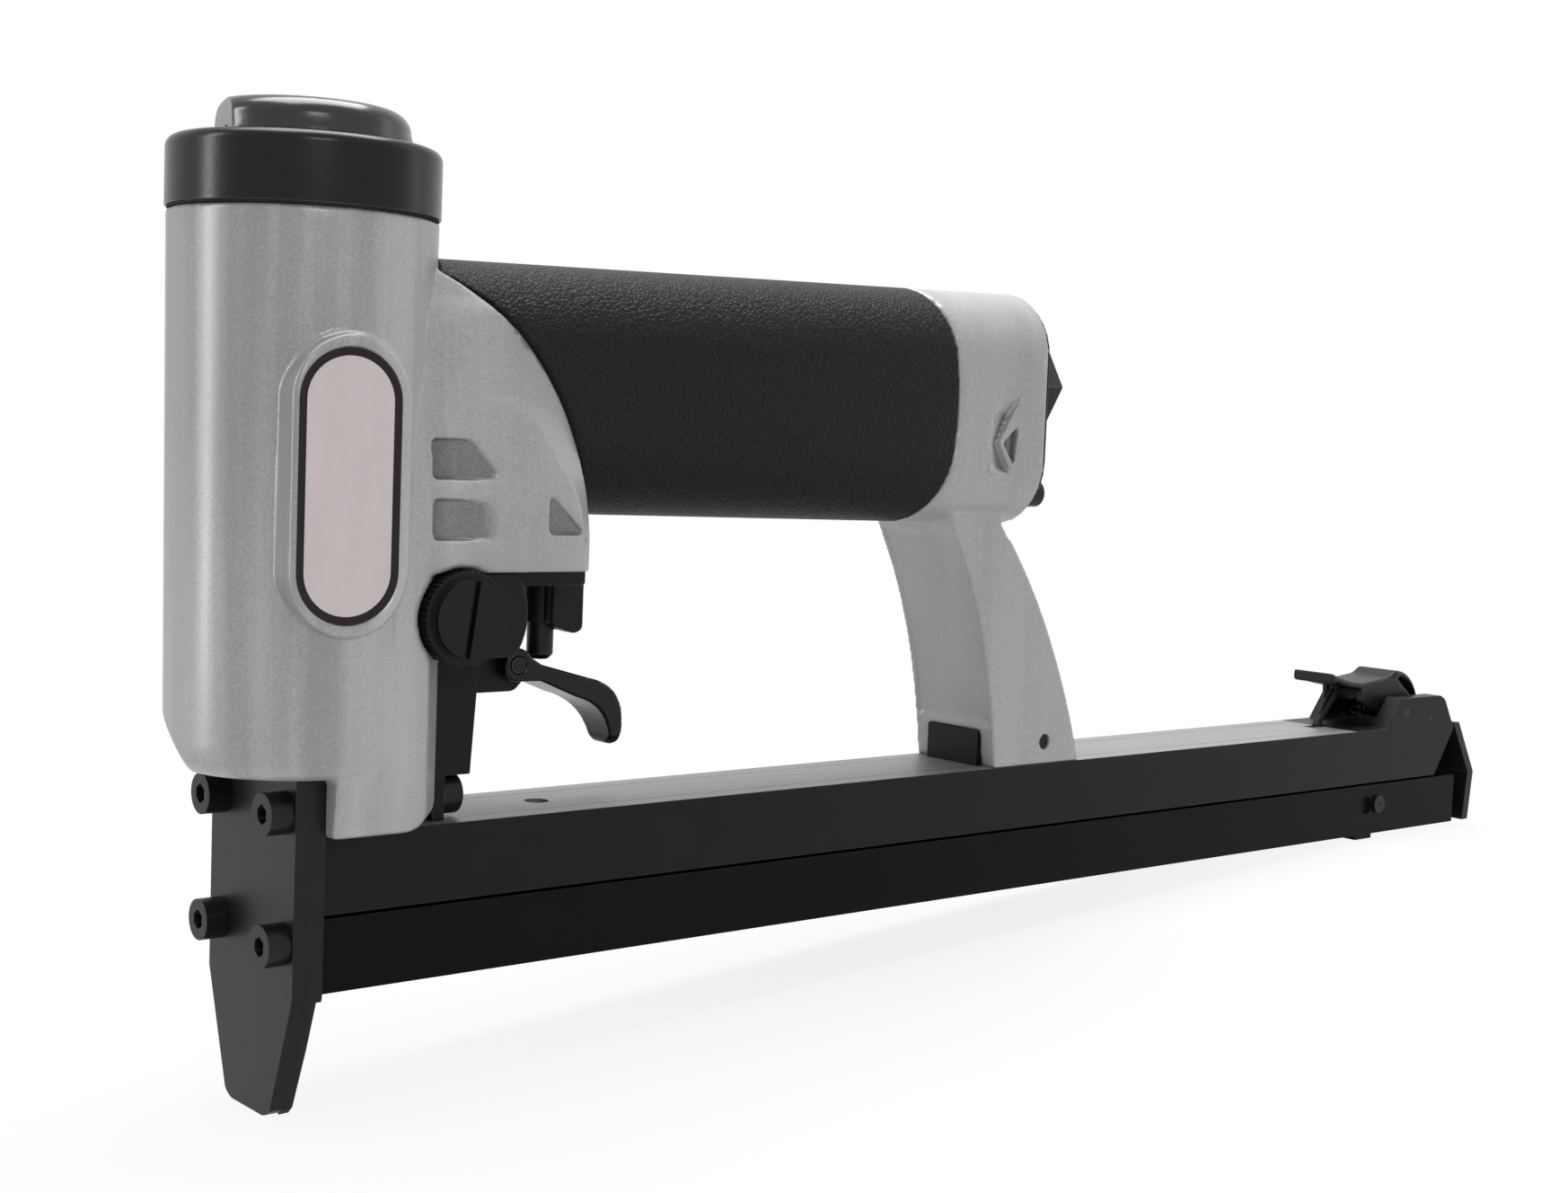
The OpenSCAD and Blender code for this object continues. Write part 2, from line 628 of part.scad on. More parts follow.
// Relief above the upper nose screw on the far side
scallop_r = 5.4;
module scallop() {
  along(-barrel_top_r - over, nose_x, nose_screw_y + screw_head_d / 2, barrel_low_z, scallop_r);
}
module body_casting() {
  color("gainsboro") difference() {
    union() {
      barrel(0);
      difference() {
        shoulder();
        behind_foot();
      }
      difference() {
        handle(0);
        // Seat of the grip sleeve
        slab(handle_w + 2 * over) grip_side(0);
      }
      // Core under the grip sleeve
      handle(-grip_t);
      leg();
      rotate([90, 0, 0]) linear_extrude(badge_face) badge_outline(0);
    }
    // Seat of the badge plate
    translate([0, -badge_face + badge_t, 0]) rotate([90, 0, 0])
      linear_extrude(badge_t + over) badge_outline(badge_rim);
    // Bore of the liner, and the passage of the driver below it
    translate([0, 0, bore_z]) cylinder(r = liner_r + fit, h = seam_z - bore_z + over);
    translate([0, 0, barrel_low_z - over]) cylinder(r = passage_r, h = floor_t + 2 * over);
    // Seat of the nose plates in front of the foot
    translate([nose_x - over, -nose_w, foot_z - over])
      cube([nose_rear_x - nose_x + over, 2 * nose_w, barrel_low_z - foot_z + over]);
    scallop();
    // Air chamber, and the seat of the inlet bush behind it
    along(foot_x + barrel_top_r, handle_rear_x - end_wall, 0, handle_z + chamber_rise, chamber_r);
    along(handle_rear_x - end_wall - over, handle_rear_x + over, 0, inlet_z, inlet_neck_r + fit);
    both() pockets();
    both() notch();
    both() rear_window(window_outline, window_deep);
    both() rear_window(corner_outline, corner_deep);
    both() foot_corner();
    // Relief for the speed knob
    translate([knob_x, -housing_w / 2, knob_z]) rotate([90, 0, 0])
      cylinder(r = knob_r + pass, h = shoulder_w);
    // Fork for the lug, and the pin through it
    bar(lug_front_x - over, lug_front_x + lug_l + fit)
      translate([-lug_w / 2 - fit, lug_z - over]) square([lug_w + 2 * fit, lug_h + over + fit]);
    cross(leg_pin_x, lug_z + leg_pin_rise, leg_pin_d / 2 + fit, leg_w + 2 * over);
    // Threads of the screws
    both() along(nose_rear_x - over, nose_x + nose_screw_l + fit, nose_screw_y, nose_screw_high_z,
      screw_d / 2 + fit);
    both() along(foot_x - bracket_thread, foot_x + over, bracket_screw_y, bracket_screw_z,
      screw_d / 2 + fit);
    both() along(handle_rear_x - end_thread, handle_rear_x + over, end_screw_y, end_screw_z,
      end_screw_d / 2 + fit);
  }
}
nose_screw_l = 14;
bracket_thread = 3;
end_thread = 7.4;

module badge_plate() {
  color("mistyrose") translate([0, -badge_face + badge_t - fit, 0]) rotate([90, 0, 0])
    linear_extrude(badge_t) badge_outline(badge_rim + fit);
}
module cylinder_liner() {
  color("silver") ring(liner_r, liner_r - liner_t, bore_z, bore_z + liner_h);
}
module bumper() {
  color("dimgray") ring(liner_r - liner_t - fit, passage_r, bore_z, bore_z + bumper_h);
}
module cap_gasket() {
  color("black") ring(barrel_top_r - fit, liner_r - liner_t, seam_z, seam_z + gasket_t);
}
// Room under the cap's crown
cap_wall = 4;
port_r = 3;
port_x = 8;
post_r = 4.5;
module top_cap() {
  color("black") difference() {
    rotate_extrude($fn = 120) polygon(concat([[0, cap_z], [cap_r, cap_z]],
      arc_points([cap_r - cap_edge_r, cap_top_z - cap_edge_r], cap_edge_r, 0, 90), [[0, cap_top_z]]));
    ring(liner_r, post_r, cap_z - over, cap_top_z - cap_wall);
    rotate([0, 0, -exhaust_turn]) translate([-port_x, 0, cap_z]) cylinder(r = port_r, h = cap_h + over);
    translate([0, 0, cap_z - over]) cylinder(d = screw_d + 2 * fit, h = cap_h + 2 * over);
  }
}
dome_rise = 1.2;
slot_h = 1.2;
module exhaust_deflector() {
  color("black") rotate([0, 0, -exhaust_turn]) difference() {
    rotate_extrude($fn = 120) polygon(concat([[0, dome_z], [dome_r, dome_z]],
      arc_points([dome_r - dome_edge_r - dome_rise / 2, dome_top_z - dome_rise - dome_edge_r],
        dome_edge_r, 0, 80), [[0, dome_top_z]]));
    translate([-dome_cut_x - dome_r, -dome_r, dome_z - over])
      cube([dome_r, 2 * dome_r, dome_h + 2 * over]);
    // Exhaust way from the cap's port to the cut face
    translate([-dome_r, -port_r - dome_t, dome_z - over])
      cube([dome_r - port_x + port_r, 2 * port_r + 2 * dome_t, slot_h + over]);
    translate([0, 0, dome_z - over]) cylinder(d = screw_d + 2 * run, h = dome_h + 2 * over);
    translate([0, 0, dome_top_z - screw_head_h]) cylinder(d = screw_head_d + 2 * pass, h = dome_h);
  }
}
module deflector_screw() {
  l = dome_h - screw_head_h + pass + cap_h;
  color("dimgray") translate([0, 0, dome_top_z - screw_head_h + run])
    cap_screw(screw_head_d, screw_head_h, screw_d, l, screw_key, screw_key_depth);
}
ring_w = 2.4;
module piston_groove(margin) {
  translate([0, 0, piston_z + piston_h / 2])
    rotate_extrude() translate([liner_r - liner_t - run - ring_w, -ring_w / 2 - margin])
      square([ring_w + over, ring_w + 2 * margin]);
}
blade_top_z = piston_z - driver_t;
blade_neck_w = 7;
pin_drop = 6;
neck_drop = 1;
module piston() {
  color("silver") difference() {
    union() {
      translate([0, 0, piston_z]) cylinder(r = liner_r - liner_t - run, h = piston_h);
      translate([0, 0, piston_z - rod_l]) cylinder(r = rod_r, h = rod_l + fit);
    }
    piston_groove(fit);
    translate([-driver_x - driver_t / 2 - fit, -rod_r - over, piston_z - rod_l - over])
      cube([driver_t + 2 * fit, 2 * rod_r + 2 * over, blade_top_z - piston_z + rod_l + over + fit]);
    along(-rod_r - over, rod_r + over, 0, piston_z - pin_drop, pin_r + fit);
  }
}
pin_r = 1.2;
module piston_ring() {
  color("black") translate([0, 0, piston_z + piston_h / 2]) rotate_extrude()
    translate([liner_r - liner_t - run - ring_w + fit, -ring_w / 2]) square([ring_w - fit, ring_w]);
}
module driver_blade() {
  neck_z = piston_z - rod_l - neck_drop;
  color("gray") difference() {
    translate([-driver_x, 0, 0]) rotate([90, 0, 90]) linear_extrude(driver_t, center = true)
      polygon([[-driver_w / 2, driver_z], [driver_w / 2, driver_z], [driver_w / 2, neck_z - driver_w / 4],
        [blade_neck_w / 2, neck_z], [blade_neck_w / 2, blade_top_z], [-blade_neck_w / 2, blade_top_z],
        [-blade_neck_w / 2, neck_z], [-driver_w / 2, neck_z - driver_w / 4]]);
    along(-rod_r - over, rod_r + over, 0, piston_z - pin_drop, pin_r + fit);
  }
}
module driver_pin() {
  color("gray") along(-rod_r + pin_r / 2, rod_r - pin_r / 2, 0, piston_z - pin_drop, pin_r);
}
module grip_sleeve() {
  color("black") difference() {
    intersection() {
      handle(0);
      slab(handle_w + over) grip_side(fit);
    }
    handle(-grip_t + fit);
    barrel(fit);
  }
}
plate_margin = 0.6;
module end_plate() {
  color("black") difference() {
    bar(plate_x, plate_x + end_plate_t) handle_section(handle_h, handle_z, -plate_margin);
    along(plate_x - over, hex_x + over, 0, inlet_z, inlet_neck_r + fit);
    both() along(plate_x - over, hex_x + over, end_screw_y, end_screw_z, end_screw_d / 2 + fit);
  }
}
// Neck of the bush in the handle's rear wall
inlet_neck_r = 8;
inlet_chamfer = 1;
module inlet_bush() {
  front_x = hex_x + inlet_hex_l - inlet_depth;
  color("dimgray") difference() {
    union() {
      translate([hex_x, 0, inlet_z]) rotate([90, 0, 90])
        cylinder(r = inlet_key / 2 / cos(30), h = inlet_hex_l, $fn = 6);
      along(front_x, hex_x + fit, 0, inlet_z, inlet_neck_r);
    }
    along(front_x - over, hex_x + inlet_hex_l + over, 0, inlet_z, inlet_thread_d / 2);
    translate([hex_x + inlet_hex_l - inlet_chamfer, 0, inlet_z]) rotate([0, 90, 0])
      cylinder(r1 = inlet_thread_d / 2, r2 = inlet_thread_d / 2 + 2 * inlet_chamfer,
        h = 2 * inlet_chamfer);
  }
}
module end_screws() {
  color("black") both() translate([plate_x + end_plate_t + fit, end_screw_y, end_screw_z])
    rotate([0, 90, 0]) cap_screw(end_head_d, cover_head_h, end_screw_d, end_thread, end_key,
      cover_head_h / 2);
}
end_key = 2;
// Outline of the nose plates in Y and Z
module nose_outline() {
  half = nose_w / 2;
  tip = nose_tip_w / 2;
  polygon(concat([[-half, barrel_low_z - fit], [-half, nose_taper_z], [-tip, nose_corner]],
    [[-tip + nose_corner, 0], [tip - nose_corner, 0]],
    [[tip, nose_corner], [half, nose_taper_z], [half, barrel_low_z - fit]]));
}
nose_corner = 1.4;
module nose_plate() {
  color("black") difference() {
    bar(nose_x, guide_x - fit) nose_outline();
    nose_screw_holes(fit);
  }
}
module nose_screw_holes(margin) {
  for (z = [nose_screw_low_z, nose_screw_high_z]) both()
    along(nose_x - over, over, nose_screw_y, z, screw_d / 2 + margin);
}
feed_low_z = 24;
module guide_plate() {
  step_x = nose_rear_x - tip_step;
  color("black") difference() {
    bar(guide_x, nose_rear_x) nose_outline();
    // Channel of the driver in its front face, and the staples' way in from the magazine
    translate([guide_x - over, -channel_w / 2, -over])
      cube([over + channel_t, channel_w, barrel_low_z + 2 * over]);
    translate([guide_x - over, -channel_w / 2, feed_low_z])
      cube([guide_t + 2 * over, channel_w, strip_low_z - feed_low_z]);
    // Stepped and sloping rear of the tip
    slab(nose_w + over) polygon([[step_x - tip_slope, -over], [over, -over], [over, tip_step_z],
      [step_x, tip_step_z], [step_x, tip_slope_z], [step_x - tip_slope, 0]]);
    nose_screw_holes(fit);
  }
}
module nose_screws() {
  color("black") {
    both() translate([nose_x - fit, nose_screw_y, nose_screw_high_z]) rotate([0, -90, 0])
      cap_screw(screw_head_d, screw_head_h, screw_d, nose_screw_l - fit, screw_key, screw_key_depth);
    both() translate([nose_x - fit, nose_screw_y, nose_screw_low_z]) rotate([0, -90, 0])
      cap_screw(screw_head_d, screw_head_h, screw_d, guide_t + nose_t, screw_key, screw_key_depth);
  }
}
module foot_bracket() {
  x0 = foot_x + fit;
  color("black") difference() {
    slab(bracket_w) polygon([[x0, lug_z], [x0 + bracket_foot_t, lug_z],
      [x0 + bracket_foot_t, bracket_step_z], [bracket_x - bracket_lean, bracket_step_z],
      [bracket_x, bracket_top_z - bracket_lean], [bracket_x, bracket_top_z], [x0, bracket_top_z]]);
    both() along(x0 - over, bracket_x + over, bracket_screw_y, bracket_screw_z, screw_d / 2 + fit);
  }
}
bracket_lean = 1.2;
module bracket_screws() {
  x0 = foot_x + fit + bracket_foot_t + fit;
  color("black") both() translate([x0, bracket_screw_y, bracket_screw_z]) rotate([0, 90, 0])
    cap_screw(screw_head_d, screw_head_h, screw_d, bracket_foot_t + bracket_thread, screw_key,
      screw_key_depth);
}
// Trigger housing under the casting
housing_boss_r = 11.8;
boss_back = 2.6;
housing_low_z = 75.4;
lug_low_z = 67.6;
lug_corner = 3;
tab_l = 6.8;
tab_w = 12;
tab_low_z = 77.8;
tab_bevel = 1.6;
module trigger_housing() {
  x0 = foot_x + fit;
  lug_x = bracket_x + pass;
  color("black") difference() {
    union() {
      difference() {
        intersection() {
          cross(knob_x + boss_back, knob_z, housing_boss_r, housing_w);
          translate([foot_corner_x, -housing_w, housing_low_z])
            cube([2 * housing_boss_r, 2 * housing_w, flange_z - housing_low_z]);
        }
        translate([0, 0, housing_low_z - over]) linear_extrude(housing_boss_r * 2) foot_outline(fit);
      }
      translate([0, 0, flange_z - flange_t]) linear_extrude(flange_t) polygon([[x0, -flange_w / 2],
        [flange_corner_x, -flange_w / 2], [flange_rear_x, -tab_w / 2], [flange_rear_x, tab_w / 2],
        [flange_corner_x, flange_w / 2], [x0, flange_w / 2]]);
      slab(trigger_lug_w) polygon([[lug_x, flange_z - fit], [lug_x, lug_low_z],
        [lug_rear_x - lug_corner, lug_low_z], [lug_rear_x, lug_low_z + lug_corner],
        [lug_rear_x, trigger_z], [lug_rear_x - lug_corner, trigger_z + trigger_boss_r],
        [lug_rear_x - lug_corner, flange_z - fit]]);
      slab(tab_w) polygon([[flange_rear_x - tab_l, flange_z - fit],
        [flange_rear_x - tab_l, tab_low_z + tab_bevel], [flange_rear_x - tab_bevel, tab_low_z],
        [flange_rear_x, tab_low_z + tab_bevel / 2], [flange_rear_x, flange_z - fit]]);
    }
    translate([stem_x, 0, tab_low_z - over])
      cylinder(d = bush_d + 2 * fit, h = bush_top_z + fit - tab_low_z + over);
    cross(trigger_x, trigger_z, trigger_pin_d / 2 + fit, trigger_lug_w + over);
    translate([knob_x, -housing_w / 2 + knob_thread, knob_z]) rotate([90, 0, 0])
      cylinder(r = knob_shank_r + run, h = knob_thread + over);
  }
}
flange_w = 24;
knob_thread = 2.8;
knob_shank_r = 2.2;
module valve_bush() {
  color("darkgray") translate([stem_x, 0, 0]) difference() {
    translate([0, 0, bush_z]) cylinder(d = bush_d, h = bush_top_z - bush_z);
    translate([0, 0, bush_z - over]) cylinder(d = stem_d + 2 * run, h = bush_room_z - bush_z + over);
  }
}
stem_gap = 0.3;
stem_low_z = trigger_z + stem_gap;
stem_top_z = 84;
stem_tip = 0.9;
module valve_stem() {
  color("gray") translate([stem_x, 0, stem_low_z]) {
    cylinder(d1 = stem_d - 2 * stem_tip, d2 = stem_d, h = stem_tip);
    translate([0, 0, stem_tip]) cylinder(d = stem_d, h = stem_top_z - stem_low_z - stem_tip);
  }
}
valve_wire_r = 0.2;
module valve_spring() {
  color("silver") translate([stem_x, 0, stem_top_z + 2 * valve_wire_r])
    coil(stem_d / 2 - 2 * valve_wire_r, valve_wire_r, valve_turns,
      bush_room_z - stem_top_z - 4 * valve_wire_r);
}
// Side outline of the trigger, as places behind and below its pivot
arm_h = 3.6;
arm_reach = 15;
arm_drop = 4.6;
pad_x = 24.6;
pad_drop = 14;
pad_t = 2.6;
module trigger_outline() {
  top = trigger_boss_r - run;
  translate([trigger_x, trigger_z]) polygon(concat(
    [[0, top], [arm_reach / 3, top - trigger_boss_r]],
    bend_points([arm_reach, -arm_drop + arm_h / 2], [pad_x, -arm_drop], [pad_x + run, -pad_drop]),
    bend_points([pad_x, -pad_drop - pad_t / 2], [pad_x - pad_t / 2, -pad_drop - pad_t],
      [pad_x - pad_t, -pad_drop - pad_t / 2]),
    bend_points([pad_x - pad_t, -pad_drop], [pad_x - pad_t - arm_h / 2, -arm_drop - arm_h],
      [arm_reach - arm_h / 2, -arm_drop - arm_h / 2]),
    [[arm_reach / 3, -trigger_boss_r - run], [0, -top]]));
}
// Front of the trigger in Y and Z, narrowing to a round tip
pad_w = 8.6;
module trigger_front() {
  half = trigger_w / 2;
  tip_z = trigger_z - pad_drop - pad_t + pad_w / 2;
  polygon([[-half, trigger_z + 2 * trigger_boss_r], [-half, trigger_z - trigger_boss_r],
    [-pad_w / 2, tip_z], [pad_w / 2, tip_z], [half, trigger_z - trigger_boss_r],
    [half, trigger_z + 2 * trigger_boss_r]]);
  translate([0, tip_z]) circle(d = pad_w);
}
module trigger() {
  slot_x = lug_rear_x + slot_gap;
  color("black") difference() {
    intersection() {
      union() {
        slab(trigger_w) trigger_outline();
        cross(trigger_x, trigger_z, trigger_boss_r, trigger_w);
      }
      bar(trigger_x - 2 * trigger_boss_r, trigger_x + pad_x + over) trigger_front();
    }
    translate([trigger_x - 2 * trigger_boss_r, -trigger_lug_w / 2 - pass, trigger_z - 2 * trigger_boss_r])
      cube([slot_x - trigger_x + 2 * trigger_boss_r, trigger_lug_w + 2 * pass, 4 * trigger_boss_r]);
    cross(trigger_x, trigger_z, trigger_pin_d / 2 + run, trigger_w + over);
  }
}
slot_gap = 1;
module trigger_pin() {
  color("gray") cross(trigger_x, trigger_z, trigger_pin_d / 2, trigger_w - run);
}
knurl_deep = 0.35;
module speed_knob() {
  color("black") translate([knob_x, -housing_w / 2 - pass, knob_z]) rotate([90, 0, 0]) difference() {
    union() {
      linear_extrude(knob_rim_t) polygon([for (i = [0 : 2 * knurl_teeth - 1])
        (knob_r - (i % 2) * knurl_deep) * [cos(180 * i / knurl_teeth), sin(180 * i / knurl_teeth)]]);
      translate([0, 0, knob_rim_t - fit]) cylinder(r = knob_face_r, h = knob_face_t + fit);
      translate([0, 0, -knob_thread]) cylinder(r = knob_shank_r, h = knob_thread + fit);
    }
    rotate([0, 0, -knob_lean]) translate([-knob_slot / 2, -knob_r, knob_rim_t])
      cube([knob_slot, 2 * knob_r, knob_face_t + over]);
  }
}
// Fixed part of the magazine: two side plates with the latch ears, and the top strip
side_end_lean = 8;
side_bevel = 1;
ear_base_front = 5.8;
ear_base_rear = 4.4;
module side_plates() {
  color("black") both() difference() {
    translate([0, -mag_half + side_t, 0]) rotate([90, 0, 0]) linear_extrude(side_t) polygon([
      [mag_x, side_low_z], [side_rear_x - side_end_lean, side_low_z], [side_rear_x, mag_top_z - side_bevel],
      [ear_rear_x + ear_base_rear, mag_top_z], [ear_rear_x, ear_top_z], [ear_front_x, ear_top_z],
      [ear_front_x - ear_base_front, mag_top_z], [mag_x, mag_top_z]]);
    cross(latch_x, latch_z, latch_pin_d / 2 + fit, mag_w + over);
    cross(latch_x + stop_ahead, stop_pin_z, stop_pin_r + fit, mag_w + over);
  }
}
stop_ahead = 11;
stop_pin_r = 1;
stop_pin_z = 48.6;
hook_slot_l = 8;
module top_strip() {
  color("silver") difference() {
    translate([mag_x, -strip_half + fit, strip_low_z])
      cube([side_rear_x - side_end_lean / 4 - mag_x, 2 * strip_half - 2 * fit, strip_t]);
    translate([strip_hole_x, 0, strip_low_z - over]) cylinder(d = strip_hole_d, h = strip_t + 2 * over);
    translate([hook_x - hook_slot_l / 2, -hook_w / 2 - pass, strip_low_z - over])
      cube([hook_slot_l, hook_w + 2 * pass, strip_t + 2 * over]);
  }
}
module leg_lug() {
  color("black") difference() {
    translate([lug_front_x, -lug_w / 2, lug_z]) cube([lug_l, lug_w, lug_h]);
    cross(leg_pin_x, lug_z + leg_pin_rise, leg_pin_d / 2 + fit, leg_w);
  }
}
module leg_pin() {
  color("gray") cross(leg_pin_x, lug_z + leg_pin_rise, leg_pin_d / 2, leg_w - leg_pin_d / 2);
}
// Sliding part of the magazine
keeper_l = 3;
keeper_h = 1.6;
block_inset = 1;
tongue_inset = 0.3;
dimple_ahead = 4.6;
dimple_r = 2.2;
dimple_deep = 0.7;
module drawer() {
  half = rail_w / 2;
  web_z = mag_low_z + rail_t;
  slot_half = strip_half - pass;
  color("black") difference() {
    union() {
      bar(nose_rear_x + pass, mag_rear_x) difference() {
        union() {
          translate([-mag_half, mag_low_z]) square([mag_w, drawer_top_z - mag_low_z]);
          translate([-half, mag_low_z]) square([rail_w, rail_top_z - mag_low_z]);
        }
        translate([-half + rail_t, web_z]) square([rail_w - 2 * rail_t, rail_top_z - rail_t - web_z]);
        for (s = [-1, 1]) translate([s * (half + slot_half) / 2 - (slot_half - half) / 2, web_z])
          square([slot_half - half, drawer_top_z]);
      }
      // Keeper that the latch's hook holds
      translate([hook_x - hook_t / 2 - pass - keeper_l, -hook_w / 2, rail_top_z - fit])
        cube([keeper_l, hook_w, keeper_h + fit]);
      // Rear block that carries the end plate
      translate([mag_rear_x - rail_t, -half, mag_low_z + block_inset])
        cube([end_bend_x - end_t - end_foot - mag_rear_x + rail_t - fit, rail_w,
          drawer_top_z - mag_low_z - 2 * block_inset]);
      translate([mag_rear_x - tongue_back, -mag_half + tongue_inset, mag_low_z - tongue_h])
        cube([tongue_l, mag_w - 2 * tongue_inset, tongue_h + fit]);
    }
    for (s = [-1, 1]) along(mag_rear_x - over, end_bend_x + over, s * drawer_screw_y, drawer_screw_z,
      end_screw_d / 2 + fit);
    translate([mag_rear_x - stop_back, -mag_half - over, stop_z]) rotate([-90, 0, 0])
      cylinder(d = end_screw_d / 2 + 2 * fit, h = side_t / 2 + over);
    // Dimple in front of the stop screw
    translate([mag_rear_x - stop_back - dimple_ahead, -mag_half - over, stop_z]) rotate([-90, 0, 0])
      cylinder(r = dimple_r, h = dimple_deep + over);
  }
}
drawer_screw_y = rail_w / 4;
drawer_screw_z = 27;
end_seat_x = end_bend_x - end_foot;
drawer_head_d = 2 * drawer_screw_y - pass;
module drawer_end() {
  inner_x = end_bend_x - end_t;
  top_z = mag_top_z - run;
  color("black") difference() {
    slab(mag_w) polygon([[inner_x - end_foot, mag_low_z], [end_seat_x, mag_low_z],
      [end_bend_x, mag_split_z], [end_bend_x - end_lean, top_z], [inner_x - end_lean, top_z],
      [inner_x, mag_split_z]]);
    // Holes and flat seats of the screws
    for (s = [-1, 1]) {
      along(inner_x - end_foot - over, end_bend_x + over, s * drawer_screw_y, drawer_screw_z,
        end_screw_d / 2 + fit);
      along(end_seat_x, end_bend_x + over, s * drawer_screw_y, drawer_screw_z, drawer_head_d / 2 + fit);
    }
  }
}
module drawer_screws() {
  color("black") for (s = [-1, 1]) translate([end_seat_x + fit, s * drawer_screw_y, drawer_screw_z])
    rotate([0, 90, 0]) cap_screw(drawer_head_d, end_head_h, end_screw_d,
      end_seat_x - mag_rear_x, end_key, end_head_h / 2);
}
stop_head_h = 0.9;
module stop_screw() {
  color("black") translate([mag_rear_x - stop_back, -mag_half - fit, stop_z]) rotate([90, 0, 0])
    cap_screw(stop_head_d, stop_head_h, end_screw_d / 2, side_t / 2 - fit, end_key / 2, stop_head_h / 2);
}
module pusher() {
  inner = rail_w / 2 + run;
  outer = inner + pusher_t;
  z0 = rail_top_z + run;
  color("dimgray") difference() {
    bar(pusher_x, pusher_x + pusher_l) difference() {
      translate([-outer, z0 - pusher_leg]) square([2 * outer, pusher_leg + pusher_t]);
      translate([-inner, z0 - pusher_leg - over]) square([2 * inner, pusher_leg + over]);
    }
    // Opening for the roll spring's drum
    translate([pusher_x + pusher_l - roll_r * 2 - roll_gap, -roll_w / 2 - run, z0 - over])
      cube([roll_r * 2 + roll_gap + over, roll_w + 2 * run, pusher_t + 2 * over]);
  }
}
pusher_gap = 1;
pusher_x = nose_rear_x + pusher_gap;
roll_gap = 1;
roll_r = 0.7;
roll_w = 8;
module roll_spring() {
  color("silver") cross(pusher_x + pusher_l - roll_r, rail_top_z + run + roll_r, roll_r - run, roll_w);
}
// Latch lever between the ears
hook_inset = 3;
hook_x = latch_x - latch_front + hook_inset;
hook_t = 2.4;
hook_gap = 0.5;
hook_low_z = rail_top_z + hook_gap;
hook_neck = 1;
cheek_r = 3;
saddle_drop = 3.1;
hump_drop = 0.4;
tail_drop = 7.2;
lip_h = 2.8;
lip_t = 1.6;
module latch_outline() {
  a = [latch_x - latch_front, latch_top_z];
  b = [latch_x - latch_front / 3, latch_top_z - saddle_drop];
  c = [latch_x + latch_tail / 5, latch_top_z - hump_drop];
  e = [latch_x + latch_tail, latch_top_z - tail_drop];
  top = concat(bend_points(a, [(a[0] + b[0]) / 2, b[1]], b), bend_points(b, [c[0] - saddle_drop, b[1]], c),
    bend_points(c, [e[0] - saddle_drop, c[1] - run], e));
  polygon(concat(top, [for (i = [len(top) - 1 : -1 : 0]) top[i] - [0, latch_t]]));
}
module latch_lever() {
  z_sheet = latch_top_z - latch_t;
  neck_z = z_sheet - saddle_drop / 2;
  color("black") difference() {
    union() {
      slab(latch_w) latch_outline();
      // Lip at the front edge
      translate([latch_x - latch_front, -latch_w / 2, latch_top_z - lip_h])
        cube([lip_t, latch_w, lip_h - latch_t / 2]);
      // Cheeks down to the pivot
      difference() {
        slab(latch_w) polygon([[latch_x - latch_front / 2, neck_z],
          [latch_x - latch_front / 2, z_sheet - 2 * saddle_drop], [latch_x - cheek_r, latch_z - cheek_r / 2],
          [latch_x - cheek_r / 2, latch_z - cheek_r + run], [latch_x + cheek_r / 2, latch_z - cheek_r + run],
          [latch_x + cheek_r, latch_z - cheek_r / 2],
          [latch_x + latch_tail - cheek_r / 2, z_sheet - 2 * saddle_drop - run],
          [latch_x + latch_tail / 5, z_sheet]]);
        slab(latch_w - 2 * latch_t) translate([latch_x - latch_front, latch_z - 2 * cheek_r])
          square([latch_front + 2 * latch_tail, 2 * cheek_r + z_sheet - latch_z - saddle_drop]);
      }
      // Hook through the strip
      slab(hook_w) polygon([[hook_x - hook_t / 2, hook_low_z], [hook_x + hook_t / 2, hook_low_z],
        [hook_x + hook_t / 2, mag_top_z + hook_neck], [hook_x + latch_front / 3 + hook_t, neck_z],
        [hook_x + latch_front / 3 - hook_t / 2, neck_z], [hook_x - hook_t / 2, mag_top_z + hook_neck]]);
    }
    cross(latch_x, latch_z, latch_pin_d / 2 + run, mag_w);
  }
}
module latch_pin() {
  color("gray") cross(latch_x, latch_z, latch_pin_d / 2, mag_w - run);
}
latch_wire_r = 0.4;
latch_coil_l = 4;
module latch_spring() {
  color("silver") translate([latch_x, latch_coil_l / 2, latch_z]) rotate([90, 0, 0])
    coil(latch_pin_d / 2 + latch_wire_r + run, latch_wire_r, latch_turns, latch_coil_l);
}
module latch_stop() {
  color("gray") cross(latch_x + stop_ahead, stop_pin_z, stop_pin_r, mag_w - run);
}

body_casting();
badge_plate();
cylinder_liner();
bumper();
cap_gasket();
top_cap();
exhaust_deflector();
deflector_screw();
piston();
piston_ring();
driver_blade();
driver_pin();
grip_sleeve();
end_plate();
inlet_bush();
end_screws();
nose_plate();
guide_plate();
nose_screws();
foot_bracket();
bracket_screws();
trigger_housing();
valve_bush();
valve_stem();
valve_spring();
trigger();
trigger_pin();
speed_knob();
side_plates();
top_strip();
leg_lug();
leg_pin();
drawer();
drawer_end();
drawer_screws();
stop_screw();
pusher();
roll_spring();
latch_lever();
latch_pin();
latch_spring();
latch_stop();
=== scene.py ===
import math
import bmesh
import bpy
from mathutils import Matrix, Vector
from mathutils.bvhtree import BVHTree


